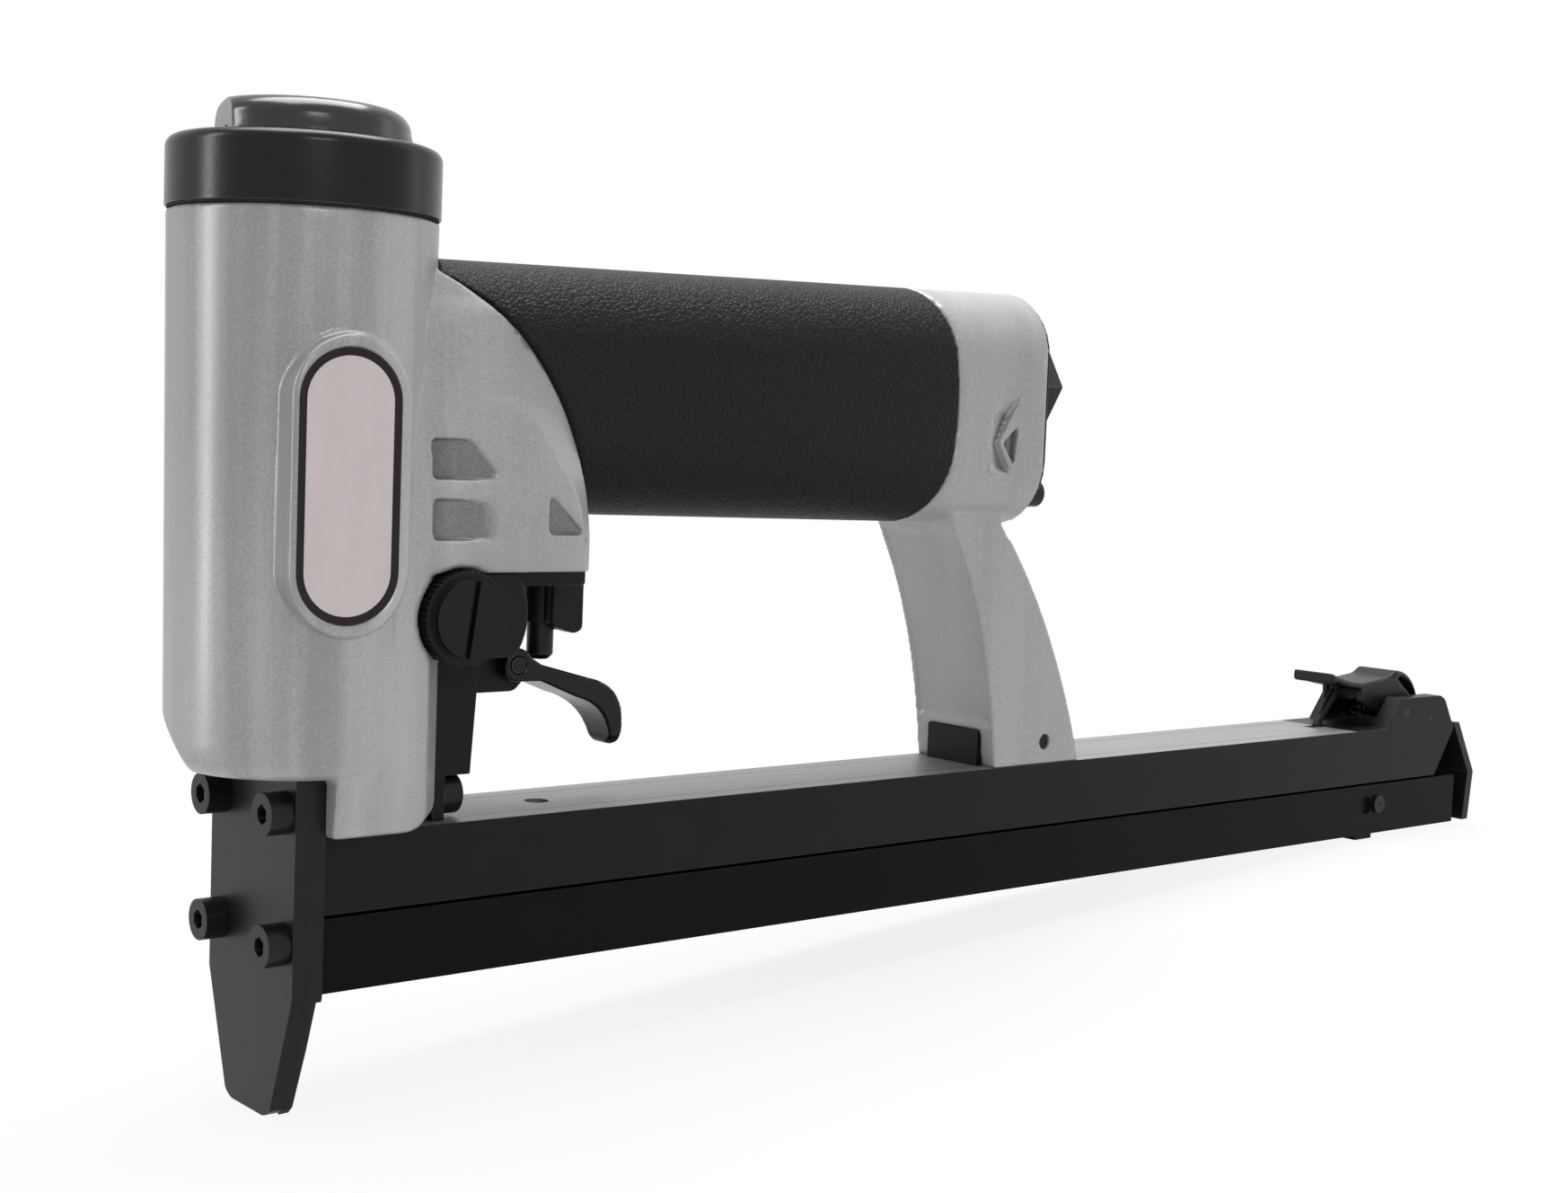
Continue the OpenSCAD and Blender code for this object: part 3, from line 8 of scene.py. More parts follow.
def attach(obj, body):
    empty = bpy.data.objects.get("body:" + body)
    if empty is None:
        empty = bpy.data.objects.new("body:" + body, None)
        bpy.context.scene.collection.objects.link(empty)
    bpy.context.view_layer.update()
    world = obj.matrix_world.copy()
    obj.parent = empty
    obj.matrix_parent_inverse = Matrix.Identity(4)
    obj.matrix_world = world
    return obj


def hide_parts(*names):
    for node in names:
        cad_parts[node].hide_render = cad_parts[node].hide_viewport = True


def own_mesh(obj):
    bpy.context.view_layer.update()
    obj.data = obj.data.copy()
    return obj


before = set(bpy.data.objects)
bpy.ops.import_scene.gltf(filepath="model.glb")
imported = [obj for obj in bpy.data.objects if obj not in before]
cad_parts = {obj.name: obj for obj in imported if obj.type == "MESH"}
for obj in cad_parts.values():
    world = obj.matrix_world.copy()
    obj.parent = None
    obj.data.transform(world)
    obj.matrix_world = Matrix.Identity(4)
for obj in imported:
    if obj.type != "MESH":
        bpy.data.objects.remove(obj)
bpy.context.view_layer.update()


# Body casting.
# Barrel, shoulder, handle core and rear leg are one aluminium die casting with soft edges.
# It is blasted and painted satin silver, so its grain is fine. Its faint vertical streaks, strongest on the
# barrel, are painted reflections of the studio.
MM = 0.001
BARREL_LOW_R, BARREL_TOP_R = 20.8 * MM, 21.8 * MM
BARREL_LOW_Z, BARREL_TOP_Z = 57 * MM, 147.2 * MM
BARREL_LOW_EDGE, BARREL_TOP_EDGE, BARREL_REAR = 4 * MM, 0.8 * MM, 22
HANDLE_HALF, HANDLE_CORNER = 17.2 * MM, 13.5 * MM
HANDLE_FRONT, HANDLE_REAR = (12, 120.7, 42.2), (159.6, 122, 48.2)
CAST_GRAIN = 0.5 * MM
CAST_ROUNDS, CRISP_ROUNDS = 7, 2
MOST_TRIANGLES = 190000
TRUE_NEAR, TRUE_FAR = 0.06 * MM, 0.22 * MM
SEAM_X, SEAM_Z, SEAM_R, SEAM_EDGE = -2 * MM, 95 * MM, 48.5 * MM, 0.3 * MM
SEAM_BAND = ((90, 17.35, 0.85), (96, 17.35, 0.85), (101, 17.0, 0.75), (104.6, 16.85, 0.54),
             (108.6, 16.6, 0.35), (114.6, 16.4, 0.24), (119.4, 16.4, 0.09), (124, 16.4, 0.065))
WINDOW_LEFT = ((144.2, 108.4), (146, 124.6))
WINDOW_RIDGE = ((151.2, 108.8), (147.2, 114.8), (153.6, 125.2))
WINDOW_DEEP, WINDOW_LOW_Z, WINDOW_TOP_Z = 2.0 * MM, 108.5 * MM, 125.1 * MM
WINDOW_LOW_RUN, WINDOW_TOP_RUN, RIDGE_EDGE = 1.5 * MM, 4 * MM, 0.3 * MM
LEG_HALF, BEAD_W, BEAD_DEEP, LEG_FACING = 11.7 * MM, 1.1 * MM, 0.45 * MM, -0.6
CORNER_PLACE, CORNER_WAY = Vector((-11.6, 9.9, 57)) * MM, Vector((-0.715, 0.4155, -0.562))
CORNER_EASE, CORNER_INNER = 0.45 * MM, 10 * MM
POCKET_SIDES = ((94, 19.5), (100, 19.4), (104, 19.05), (108, 18.68), (112, 18.3), (114, 18.1))
POCKET_REAR, NOTCH_LEFT, NOTCH_LOW, NOTCH_TOP = 27, 36.8, (44.7, 96.2), (37, 103.5)
# Painted shade in the pockets and the window: depth where it starts and depth over which it grows to full,
# in mm
POCKET_SHADE, WINDOW_SHADE = (0.12, 0.4), (0.5, 0.9)
# Parts of the casting: reach in x, reach in z and least distance from the middle plane, in mm
ANY_SIDE, NO_END = -1, 400
HANDLE_END, SHOULDER = ((131, NO_END), (99, NO_END), ANY_SIDE), ((BARREL_REAR, NO_END), (89, NO_END), 15)
WINDOW, LEG = ((143, 154), (107.5, 126), 14.5), ((125, 175), (56, 96), ANY_SIDE)
FOOT_FRONT = ((-NO_END, -2), (56, NO_END), ANY_SIDE)
CRISP_PARTS = (((13, 46), (94, 114), 13), ((142, 155), (106, 128), 13), ((125, NO_END), (0, 95), ANY_SIDE))
POCKET_FLOOR, WINDOW_FLOOR = ((14, 45.5), (95, 113), 14), ((144, 153.4), (108.6, 121), 14)
SILVER_LIGHT = (0.45, 0.45, 0.45, 1)
SILVER_DARK = (0.29, 0.29, 0.29, 1)
# Painted reflection on the silver paint: where its streaks end on the barrel, their fade, their share
# beyond, and the painted darker tone towards the top
REFLECTED_STREAKS_END, REFLECTED_STREAKS_FADE, REFLECTED_STREAKS_LEFT = 16 * MM, 8 * MM, 0.25
DEEP_LOW_Z, DEEP_TOP_Z, DEEP_LOW, DEEP_TOP = 75 * MM, 115 * MM, 0.45, 0.78


def merged_copy(node):
    shape = bmesh.new()
    shape.from_mesh(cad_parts[node].data)
    bmesh.ops.remove_doubles(shape, verts=shape.verts, dist=1e-6)
    return shape


def mesh_of(shape, name):
    mesh = bpy.data.meshes.new(name)
    shape.to_mesh(mesh)
    shape.free()
    return mesh


def as_piece(mesh, name, material, body, node):
    mesh.shade_smooth()
    mesh.materials.append(material)
    piece = bpy.data.objects.new(name, mesh)
    bpy.context.collection.objects.link(piece)
    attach(piece, body)
    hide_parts(node)
    return piece


def finished_mesh(mesh, *makers):
    # Mesh as its modifiers leave it
    holder = bpy.data.objects.new("holder", mesh)
    bpy.context.collection.objects.link(holder)
    for kind, values in makers:
        maker = holder.modifiers.new(kind.lower(), kind)
        for key, value in values.items():
            setattr(maker, key, value)
    bpy.context.view_layer.update()
    result = bpy.data.meshes.new_from_object(
        holder.evaluated_get(bpy.context.evaluated_depsgraph_get()))
    bpy.data.objects.remove(holder)
    return result


def softened(node, grain, rounds, true_up=None, crisp=None):
    # Casting or moulding: even skin, rounded edges, then flat and round walls put back in place
    exact = merged_copy(node)
    walls = BVHTree.FromBMesh(exact)
    skin = finished_mesh(mesh_of(exact, node + "_solid"),
                         ("REMESH", {"mode": "VOXEL", "voxel_size": grain}))
    shape = bmesh.new()
    shape.from_mesh(skin)
    plain = [v for v in shape.verts if not (crisp and crisp(v.co / MM))]
    for turn in range(rounds):
        bmesh.ops.smooth_vert(shape, verts=shape.verts if turn < CRISP_ROUNDS else plain, factor=0.5,
                              use_axis_x=True, use_axis_y=True, use_axis_z=True)
    shape.normal_update()
    for vert in shape.verts:
        place, _, _, gap = walls.find_nearest(vert.co)
        share = (TRUE_FAR - gap) / (TRUE_FAR - TRUE_NEAR)
        vert.co = vert.co.lerp(place, min(max(share, 0), 1))
        if true_up:
            true_up(vert)
    kept = min(1, MOST_TRIANGLES / (2 * len(shape.faces)))
    return finished_mesh(mesh_of(shape, node + "_skin"),
                         ("DECIMATE", {"decimate_type": "COLLAPSE", "ratio": kept}))


def true_barrel(vert):
    # The barrel's wall goes back on its exact taper
    x, y, z = vert.co
    share = (z - BARREL_LOW_Z) / (BARREL_TOP_Z - BARREL_LOW_Z)
    wanted = BARREL_LOW_R + share * (BARREL_TOP_R - BARREL_LOW_R)
    found = math.hypot(x, y)
    wall = BARREL_LOW_Z + BARREL_LOW_EDGE < z < BARREL_TOP_Z - BARREL_TOP_EDGE
    if wall and abs(found - wanted) < TRUE_FAR:
        vert.co = Vector((x * wanted / found, y * wanted / found, z))


def true_handle(vert):
    # The handle's wall goes back on its rounded section
    x, y, z = vert.co
    (x0, z0, h0), (x1, z1, h1) = HANDLE_FRONT, HANDLE_REAR
    share = min(max((x / MM - x0) / (x1 - x0), 0), 1)
    middle, half = (z0 + share * (z1 - z0)) * MM, (h0 + share * (h1 - h0)) / 2 * MM
    flat = Vector((min(max(y, HANDLE_CORNER - HANDLE_HALF), HANDLE_HALF - HANDLE_CORNER),
                   min(max(z - middle, HANDLE_CORNER - half), half - HANDLE_CORNER)))
    out = Vector((y, z - middle)) - flat
    if out.length > HANDLE_CORNER / 2 and abs(out.length - HANDLE_CORNER) < TRUE_FAR:
        out = flat + out.normalized() * HANDLE_CORNER
        vert.co = Vector((x, out.x, out.y + middle))


def along(table, place):
    # Values of a table of rows at a place between two rows
    for low, high in zip(table, table[1:]):
        if place < high[0]:
            break
    share = min(max((place - low[0]) / (high[0] - low[0]), 0), 1)
    return [a + share * (b - a) for a, b in zip(low[1:], high[1:])]


def swept_seam(vert):
    # The shoulder's sides run in to the grip in a band along the curved seam
    x, y, z = vert.co
    inside = SEAM_R - math.hypot(x - SEAM_X, max(z - SEAM_Z, 0))
    half, slope = along(SEAM_BAND, z / MM)
    most = half * MM + slope * max(inside, 0)
    if inside > -SEAM_EDGE and abs(y) > most:
        vert.co.y = math.copysign(most, y)


def sloped_window(vert):
    # The window's floor slopes down from its edge near the grip to its bent ridge
    x, y, z = vert.co
    left = along([(b, a) for a, b in WINDOW_LEFT], z / MM)[0] * MM
    ridge = along([(b, a) for a, b in WINDOW_RIDGE], z / MM)[0] * MM
    if left < x < ridge - RIDGE_EDGE and WINDOW_LOW_Z < z < WINDOW_TOP_Z:
        fall = (x - left) / (ridge - left)
        fall *= min((z - WINDOW_LOW_Z) / WINDOW_LOW_RUN, 1) * min((WINDOW_TOP_Z - z) / WINDOW_TOP_RUN, 1)
        vert.co.y = math.copysign(HANDLE_HALF - WINDOW_DEEP * fall, y)


def beaded_leg(vert):
    # The leg's front is set back between two beads along its edges
    inside = LEG_HALF - BEAD_W - abs(vert.co.y)
    if vert.normal.x < LEG_FACING and inside > 0:
        vert.co.x += BEAD_DEEP * min(inside / BEAD_DEEP, 1)


def cut_corner(vert):
    # The barrel's foot is cut back on its front far side to clear the screw under it
    if vert.co.xy.length < CORNER_INNER:
        return
    past = (vert.co - CORNER_PLACE).dot(CORNER_WAY)
    if past > CORNER_EASE:
        vert.co -= past * CORNER_WAY
    elif past > -CORNER_EASE:
        vert.co -= (past + CORNER_EASE) ** 2 / (4 * CORNER_EASE) * CORNER_WAY


def within(part, place):
    (left, right), (low, top), side = part
    return left < place.x < right and low < place.z < top and abs(place.y) > side


def true_casting(vert):
    place = vert.co / MM
    if within(HANDLE_END, place):
        true_handle(vert)
    elif place.x < BARREL_REAR:
        true_barrel(vert)
        if within(FOOT_FRONT, place):
            cut_corner(vert)
    elif within(SHOULDER, place):
        swept_seam(vert)
    if within(WINDOW, place):
        sloped_window(vert)
    elif within(LEG, place):
        beaded_leg(vert)


def crisp_places(place):
    return any(within(part, place) for part in CRISP_PARTS)


def paint_hollow_shade(mesh):
    # Pockets and the window's corner get painted shade: their floors are painted darker the deeper they lie
    hollow_shade = mesh.attributes.new("hollow_shade", "FLOAT", "POINT")
    for vert, value in zip(mesh.vertices, hollow_shade.data):
        place = vert.co / MM
        across = (NOTCH_LOW[0] - place.x) / (NOTCH_LOW[0] - NOTCH_TOP[0])
        upward = (place.z - NOTCH_LOW[1]) / (NOTCH_TOP[1] - NOTCH_LOW[1])
        in_notch = place.x > NOTCH_LEFT and upward < across
        deep = 0
        if within(POCKET_FLOOR, place) and (place.x < POCKET_REAR or in_notch):
            start, full = POCKET_SHADE
            deep = (along(POCKET_SIDES, place.z)[0] - abs(place.y) - start) / full
        elif within(WINDOW_FLOOR, place):
            start, full = WINDOW_SHADE
            deep = (HANDLE_HALF / MM - abs(place.y) - start) / full
        value.value = min(max(deep, 0), 1)
    return mesh


def node_maker(tree):
    def make(kind, links=(), **values):
        node = tree.nodes.new(kind)
        for key, value in values.items():
            if key in node.inputs:
                node.inputs[key].default_value = value
            else:
                setattr(node, key, value)
        for source, socket in links:
            tree.links.new(source, node.inputs[socket])
        return node
    return make


def nodes_of(name):
    material = bpy.data.materials.new(name)
    material.use_nodes = True
    tree = material.node_tree
    shader = next(n for n in tree.nodes if n.type == "BSDF_PRINCIPLED")
    return material, tree, shader, node_maker(tree)


def painted(name, dark, light, rough, metallic=0.0, specular=0.5, stretch=(1, 1, 1), patches=60,
            grain=1800, grain_depth=0.02, spread=0.5, speckle=0.25, edge_wear_and_highlight=None, hollow_shade=None, reflection_streaks=False):
    # Satin coat: uneven tone in soft patches, fine grain, and where given, paler edges for edge wear and
    # painted highlight and darker hollows for painted shade.
    # A streaked one gets painted reflection streaks, strong on the barrel, and is painted deeper in tone
    # towards its top as a painted reflection of the dark studio
    material, tree, shader, make = nodes_of(name)
    place = make("ShaderNodeTexCoord").outputs["Object"]
    drawn = make("ShaderNodeMapping", [(place, "Vector")], Scale=stretch)
    patch = make("ShaderNodeTexNoise", [(drawn.outputs[0], "Vector")], Scale=patches, Detail=4.0)
    fine = make("ShaderNodeTexNoise", [(place, "Vector")], Scale=grain, Detail=3.0)
    drift = make("ShaderNodeMapRange", [(patch.outputs["Fac"], "Value")],
                 **{"From Min": 0.5 - spread, "From Max": 0.5 + spread})
    # Painted reflection: strong streaks on the barrel, painted darker towards its top
    if reflection_streaks:
        place_xyz = make("ShaderNodeSeparateXYZ", [(place, 0)])
        strong = make("ShaderNodeMapRange", [(place_xyz.outputs["X"], "Value")],
                      **{"From Min": REFLECTED_STREAKS_END, "From Max": REFLECTED_STREAKS_END + REFLECTED_STREAKS_FADE,
                         "To Min": 1.0, "To Max": REFLECTED_STREAKS_LEFT})
        upward = make("ShaderNodeMapRange", [(place_xyz.outputs["Z"], "Value")],
                      **{"From Min": DEEP_LOW_Z, "From Max": DEEP_TOP_Z,
                         "To Min": DEEP_LOW, "To Max": DEEP_TOP})
        swing = make("ShaderNodeMath", [(drift.outputs[0], 0), (upward.outputs[0], 1)],
                     operation="SUBTRACT")
        drift = make("ShaderNodeMath", [(swing.outputs[0], 0), (strong.outputs[0], 1)],
                     operation="MULTIPLY_ADD")
        drift.inputs[2].default_value = 0.5
    speck = make("ShaderNodeMapRange", [(fine.outputs["Fac"], "Value")],
                 **{"From Min": 0.3, "From Max": 0.7, "To Min": -speckle, "To Max": speckle})
    blend = make("ShaderNodeMath", [(drift.outputs[0], 0), (speck.outputs[0], 1)], operation="ADD",
                 use_clamp=True)
    tone = make("ShaderNodeMix", [(blend.outputs[0], 0)], data_type="RGBA")
    tone.inputs[6].default_value, tone.inputs[7].default_value = dark, light
    colour = tone.outputs[2]
    # Painted shade in the hollows, darker by their depth
    if hollow_shade:
        shade_depth = make("ShaderNodeAttribute", attribute_name="hollow_shade")
        patchy = make("ShaderNodeMapRange", [(blend.outputs[0], "Value")], **{"To Min": 1.0, "To Max": 0.5})
        shade_share = make("ShaderNodeMath", [(shade_depth.outputs["Fac"], 0), (patchy.outputs[0], 1)],
                      operation="MULTIPLY")
        darkened = make("ShaderNodeMix", [(shade_share.outputs[0], 0), (colour, 6)], data_type="RGBA")
        darkened.inputs[7].default_value = hollow_shade
        colour = darkened.outputs[2]
    # Paler broken edges: edge wear and painted highlight
    if edge_wear_and_highlight:
        edge = make("ShaderNodeAttribute", attribute_name="edge_wear_and_highlight")
        rubbed_and_lit = make("ShaderNodeMath", [(edge.outputs["Fac"], 0), (patch.outputs["Fac"], 1)],
                      operation="MULTIPLY")
        mixed = make("ShaderNodeMix", [(rubbed_and_lit.outputs[0], 0), (colour, 6)], data_type="RGBA")
        mixed.inputs[7].default_value = edge_wear_and_highlight
        colour = mixed.outputs[2]
    tree.links.new(colour, shader.inputs["Base Color"])
    satin = make("ShaderNodeMapRange", [(fine.outputs["Fac"], "Value")],
                 **{"To Min": rough - 0.05, "To Max": rough + 0.05})
    tree.links.new(satin.outputs[0], shader.inputs["Roughness"])
    bump = make("ShaderNodeBump", [(fine.outputs["Fac"], "Height")], Strength=0.5,
                Distance=grain_depth * MM)
    tree.links.new(bump.outputs[0], shader.inputs["Normal"])
    shader.inputs["Metallic"].default_value = metallic
    shader.inputs["Specular IOR Level"].default_value = specular
    return material


silver_paint = painted("silver paint", SILVER_DARK, SILVER_LIGHT, 0.32, metallic=0.2, specular=0.15,
                       stretch=(1, 1, 0.04), patches=120, grain=2600, grain_depth=0.02, spread=0.16,
                       hollow_shade=(0.15, 0.15, 0.15, 1), reflection_streaks=True)
as_piece(paint_hollow_shade(softened("body_casting", CAST_GRAIN, CAST_ROUNDS, true_casting, crisp_places)),
         "casting", silver_paint, "tool_body", "body_casting")


# Cylinder: liner, bumper and gasket.
# A drawn aluminium sleeve stands in the barrel, with a rubber bumper in its foot
# and a flat rubber gasket under the cap.
FLAT_WITHIN, CORNER_STEPS = math.radians(0.6), 5


def flat_faced(node):
    # Copy of a CAD piece with each flat wall as one face
    shape = merged_copy(node)
    bmesh.ops.dissolve_limit(shape, angle_limit=FLAT_WITHIN, verts=shape.verts, edges=shape.edges,
                             use_dissolve_boundaries=False, delimit=set())
    return shape


def eased(node, ease, segments=2, sharp=35, rounder=None):
    # Copy of a CAD piece with its sharp edges broken and marked for paler paint, as edge wear and painted
    # highlight, some corners rounded more
    shape = flat_faced(node)
    edge_wear_and_highlight = shape.faces.layers.float.new("edge_wear_and_highlight")
    if rounder:
        chosen, radius = rounder
        corners = []
        for edge in shape.edges:
            start, stop = (v.co for v in edge.verts)
            middle, way = (start + stop) / 2 / MM, (stop - start).normalized()
            if edge.calc_face_angle(0) > math.radians(sharp) and chosen(middle, way):
                corners.append(edge)
        bmesh.ops.bevel(shape, geom=corners, offset=radius * MM, offset_type="OFFSET",
                        segments=CORNER_STEPS, profile=0.5, affect="EDGES", clamp_overlap=True, material=-1)
    edges = [e for e in shape.edges
             if len(e.link_faces) == 2 and e.calc_face_angle(0) > math.radians(sharp)]
    broken = bmesh.ops.bevel(shape, geom=edges, offset=ease * MM, offset_type="OFFSET", segments=segments,
                             profile=0.5, affect="EDGES", clamp_overlap=True, material=-1)
    # Broken edges are marked for paler paint: edge wear and painted highlight
    for face in broken["faces"]:
        face[edge_wear_and_highlight] = 1
    return mesh_of(shape, node + "_eased")


def eased_piece(node, name, ease, material, slot, body="tool_body", **how):
    piece = as_piece(eased(node, ease, **how), name, material, body, node)
    piece.modifiers.new("even shading", "WEIGHTED_NORMAL")
    return piece


drawn_alloy = painted("drawn alloy", (0.42, 0.42, 0.43, 1), (0.52, 0.52, 0.53, 1), 0.3, metallic=0.9,
                      stretch=(1, 1, 0.1), patches=200, grain=3000, grain_depth=0.01)
soft_rubber = painted("soft rubber", (0.010, 0.010, 0.010, 1), (0.018, 0.018, 0.018, 1), 0.7,
                      specular=0.25, grain=1500, grain_depth=0.03)
eased_piece("cylinder_liner", "liner", 0.3, drawn_alloy, "strip_aluminium")
eased_piece("bumper", "bumper_ring", 0.6, soft_rubber, "seal_rubber")
eased_piece("cap_gasket", "gasket", 0.12, soft_rubber, "seal_rubber")


# Piston and driver.
# A turned alloy piston with a rubber ring carries the hardened steel driver blade on a cross pin.
ground_steel = painted("ground steel", (0.30, 0.30, 0.31, 1), (0.42, 0.42, 0.43, 1), 0.28, metallic=0.95,
                       stretch=(1, 1, 0.06), patches=400, grain=3500, grain_depth=0.008)
eased_piece("piston", "piston_crown", 0.35, drawn_alloy, "strip_aluminium", "piston_driver")
eased_piece("piston_ring", "piston_seal", 0.3, soft_rubber, "seal_rubber", "piston_driver")
eased_piece("driver_blade", "driver", 0.12, ground_steel, "bright_steel", "piston_driver")
eased_piece("driver_pin", "driver_cross_pin", 0.2, ground_steel, "bright_steel", "piston_driver")


# Cap and exhaust deflector.
# Both are black coated alloy. The deflector sits on the cap and turns around its socket screw.
black_coat = painted("black coat", (0.004, 0.004, 0.004, 1), (0.0075, 0.0075, 0.0077, 1), 0.4,
                     specular=0.14, patches=120, grain=2200, grain_depth=0.02, edge_wear_and_highlight=(0.05, 0.05, 0.05, 1))
black_oxide = painted("black oxide", (0.005, 0.005, 0.0052, 1), (0.010, 0.010, 0.0105, 1), 0.36,
                      specular=0.2, patches=300, grain=3000, grain_depth=0.01,
                      edge_wear_and_highlight=(0.07, 0.07, 0.07, 1))
glossy_coat = painted("glossy coat", (0.002, 0.002, 0.002, 1), (0.005, 0.005, 0.0052, 1), 0.26,
                      specular=0.22, patches=120, grain=2200, grain_depth=0.02, edge_wear_and_highlight=(0.06, 0.06, 0.06, 1))
dome_coat = painted("dome coat", (0.003, 0.003, 0.003, 1), (0.007, 0.007, 0.0072, 1), 0.22,
                    specular=0.5, patches=120, grain=2200, grain_depth=0.015, edge_wear_and_highlight=(0.06, 0.06, 0.06, 1))
lit_facet_coat = painted("lit facet coat", (0.17, 0.17, 0.17, 1), (0.25, 0.25, 0.25, 1), 0.35,
                      patches=300, grain=2600, grain_depth=0.02)
DOME_TURN, CUT_TURN = math.radians(15), math.radians(18)
DOME_CUT, CUT_FACING, CUT_OUT = Vector((-math.cos(CUT_TURN), math.sin(CUT_TURN), 0)), 0.97, 13 * MM
eased_piece("top_cap", "cap", 0.3, glossy_coat, "black_aluminium")
dome = eased_piece("exhaust_deflector", "deflector_dome", 0.3, dome_coat, "black_aluminium", "deflector")
dome.data.transform(Matrix.Rotation(DOME_TURN, 4, "Z"))
# The deflector's cut face is painted light grey: painted light from the left
dome.data.materials.append(lit_facet_coat)
for face in dome.data.polygons:
    if face.normal.dot(DOME_CUT) > CUT_FACING and face.center.dot(DOME_CUT) > CUT_OUT:
        face.material_index = 1
eased_piece("deflector_screw", "dome_screw", 0.2, black_oxide, "black_steel")


# Badge plate.
# A pressed aluminium plate is glued into the oval boss on the barrel. Its dark border
# line is a shallow groove.
BADGE_LINE_IN, BADGE_LINE_W, BADGE_LINE_DEEP, BADGE_STEP = 0.12 * MM, 1.25 * MM, 0.12 * MM, 0.5 * MM
BADGE_RIGHT, BADGE_WIDER = 6.05 * MM, 1.075
badge_face = painted("badge face", (0.52, 0.46, 0.465, 1), (0.62, 0.55, 0.555, 1), 0.38, metallic=0.2,
                     stretch=(1, 1, 0.2), patches=300, grain=900, grain_depth=0.002, speckle=0.05)
badge_line = painted("badge line", (0.008, 0.006, 0.008, 1), (0.016, 0.011, 0.016, 1), 0.3, specular=0.2,
                     patches=300, grain=3000, grain_depth=0.008)
plate = flat_faced("badge_plate")
for vert in plate.verts:
    vert.co.x = BADGE_RIGHT + (vert.co.x - BADGE_RIGHT) * BADGE_WIDER
front = min(plate.faces, key=lambda f: (round(f.normal.y, 2), -f.calc_area()))
for width, height, look in ((BADGE_LINE_IN, 0, 1), (BADGE_LINE_W, -BADGE_LINE_DEEP, 1),
                            (BADGE_STEP, BADGE_LINE_DEEP, 0)):
    rim = bmesh.ops.inset_region(plate, faces=[front], thickness=width, depth=height)
    for face in rim["faces"]:
        face.material_index = look
badge = as_piece(mesh_of(plate, "badge_mesh"), "badge", badge_face, "tool_body",
                 "badge_plate")
badge.data.materials.append(badge_line)
badge.modifiers.new("even shading", "WEIGHTED_NORMAL")


# Grip sleeve.
# A moulded rubber sleeve with a leather grain is slipped on the handle between the two seams.
GRIP_ROUNDS = 5
LEATHER_CELL, LEATHER_DEEP = 0.9 * MM, 0.16 * MM


def grained_rubber(name, dark, light):
    # Plump cells with wandering borders under a fine grain
    material, tree, shader, make = nodes_of(name)
    place = make("ShaderNodeTexCoord").outputs["Object"]
    wander = make("ShaderNodeTexNoise", [(place, "Vector")], Scale=500.0, Detail=2.0)
    bent = make("ShaderNodeVectorMath", [(wander.outputs["Color"], 0)], operation="SCALE",
                Scale=LEATHER_CELL)
    moved = make("ShaderNodeVectorMath", [(place, 0), (bent.outputs[0], 1)], operation="ADD")
    cells = make("ShaderNodeTexVoronoi", [(moved.outputs[0], "Vector")], feature="DISTANCE_TO_EDGE",
                 Scale=1 / LEATHER_CELL)
    plump = make("ShaderNodeMapRange", [(cells.outputs["Distance"], "Value")], **{"From Max": 0.25})
    fine = make("ShaderNodeTexNoise", [(place, "Vector")], Scale=2500.0, Detail=3.0)
    height = make("ShaderNodeMath", [(fine.outputs["Fac"], 0), (plump.outputs[0], 2)],
                  operation="MULTIPLY_ADD")
    height.inputs[1].default_value = 0.5
    bump = make("ShaderNodeBump", [(height.outputs[0], "Height")], Strength=0.8, Distance=LEATHER_DEEP)
    tree.links.new(bump.outputs[0], shader.inputs["Normal"])
    tone = make("ShaderNodeMix", [(plump.outputs[0], 0)], data_type="RGBA")
    tone.inputs[6].default_value, tone.inputs[7].default_value = dark, light
    tree.links.new(tone.outputs[2], shader.inputs["Base Color"])
    satin = make("ShaderNodeMapRange", [(fine.outputs["Fac"], "Value")], **{"To Min": 0.42, "To Max": 0.58})
    tree.links.new(satin.outputs[0], shader.inputs["Roughness"])
    shader.inputs["Specular IOR Level"].default_value = 0.13
    return material


leather_rubber = grained_rubber("leather grained rubber", (0.004, 0.004, 0.004, 1),
                                (0.008, 0.008, 0.0082, 1))
as_piece(softened("grip_sleeve", CAST_GRAIN, GRIP_ROUNDS, true_handle), "grip", leather_rubber,
         "tool_body", "grip_sleeve")


# Inlet end.
# A black plate closes the handle with two screws, and the steel inlet bush is screwed in through it.
eased_piece("end_plate", "end_cover", 0.4, black_coat, "black_aluminium")
eased_piece("inlet_bush", "inlet", 0.3, black_oxide, "black_steel")
eased_piece("end_screws", "cover_screws", 0.2, black_oxide, "black_steel")


# Nose.
# Two hardened plates with black oxide form the driver's channel, held by four socket cap screws.
TIP_TOP_Z, TIP_R, EDGE_ALONG = 0.5, 1.6, 0.9
nose_tip = (lambda place, way: place.z < TIP_TOP_Z and abs(way.x) > EDGE_ALONG, TIP_R)
eased_piece("guide_plate", "guide", 0.25, black_oxide, "black_steel", rounder=nose_tip)
eased_piece("nose_plate", "nose", 0.3, black_oxide, "black_steel", rounder=nose_tip)
eased_piece("nose_screws", "nose_bolts", 0.25, black_oxide, "black_steel")


# Foot bracket.
# A black alloy block behind the foot, held by two socket cap screws, steadies the magazine.
eased_piece("foot_bracket", "bracket", 0.35, black_coat, "black_aluminium")
eased_piece("bracket_screws", "bracket_bolts", 0.25, black_oxide, "black_steel")


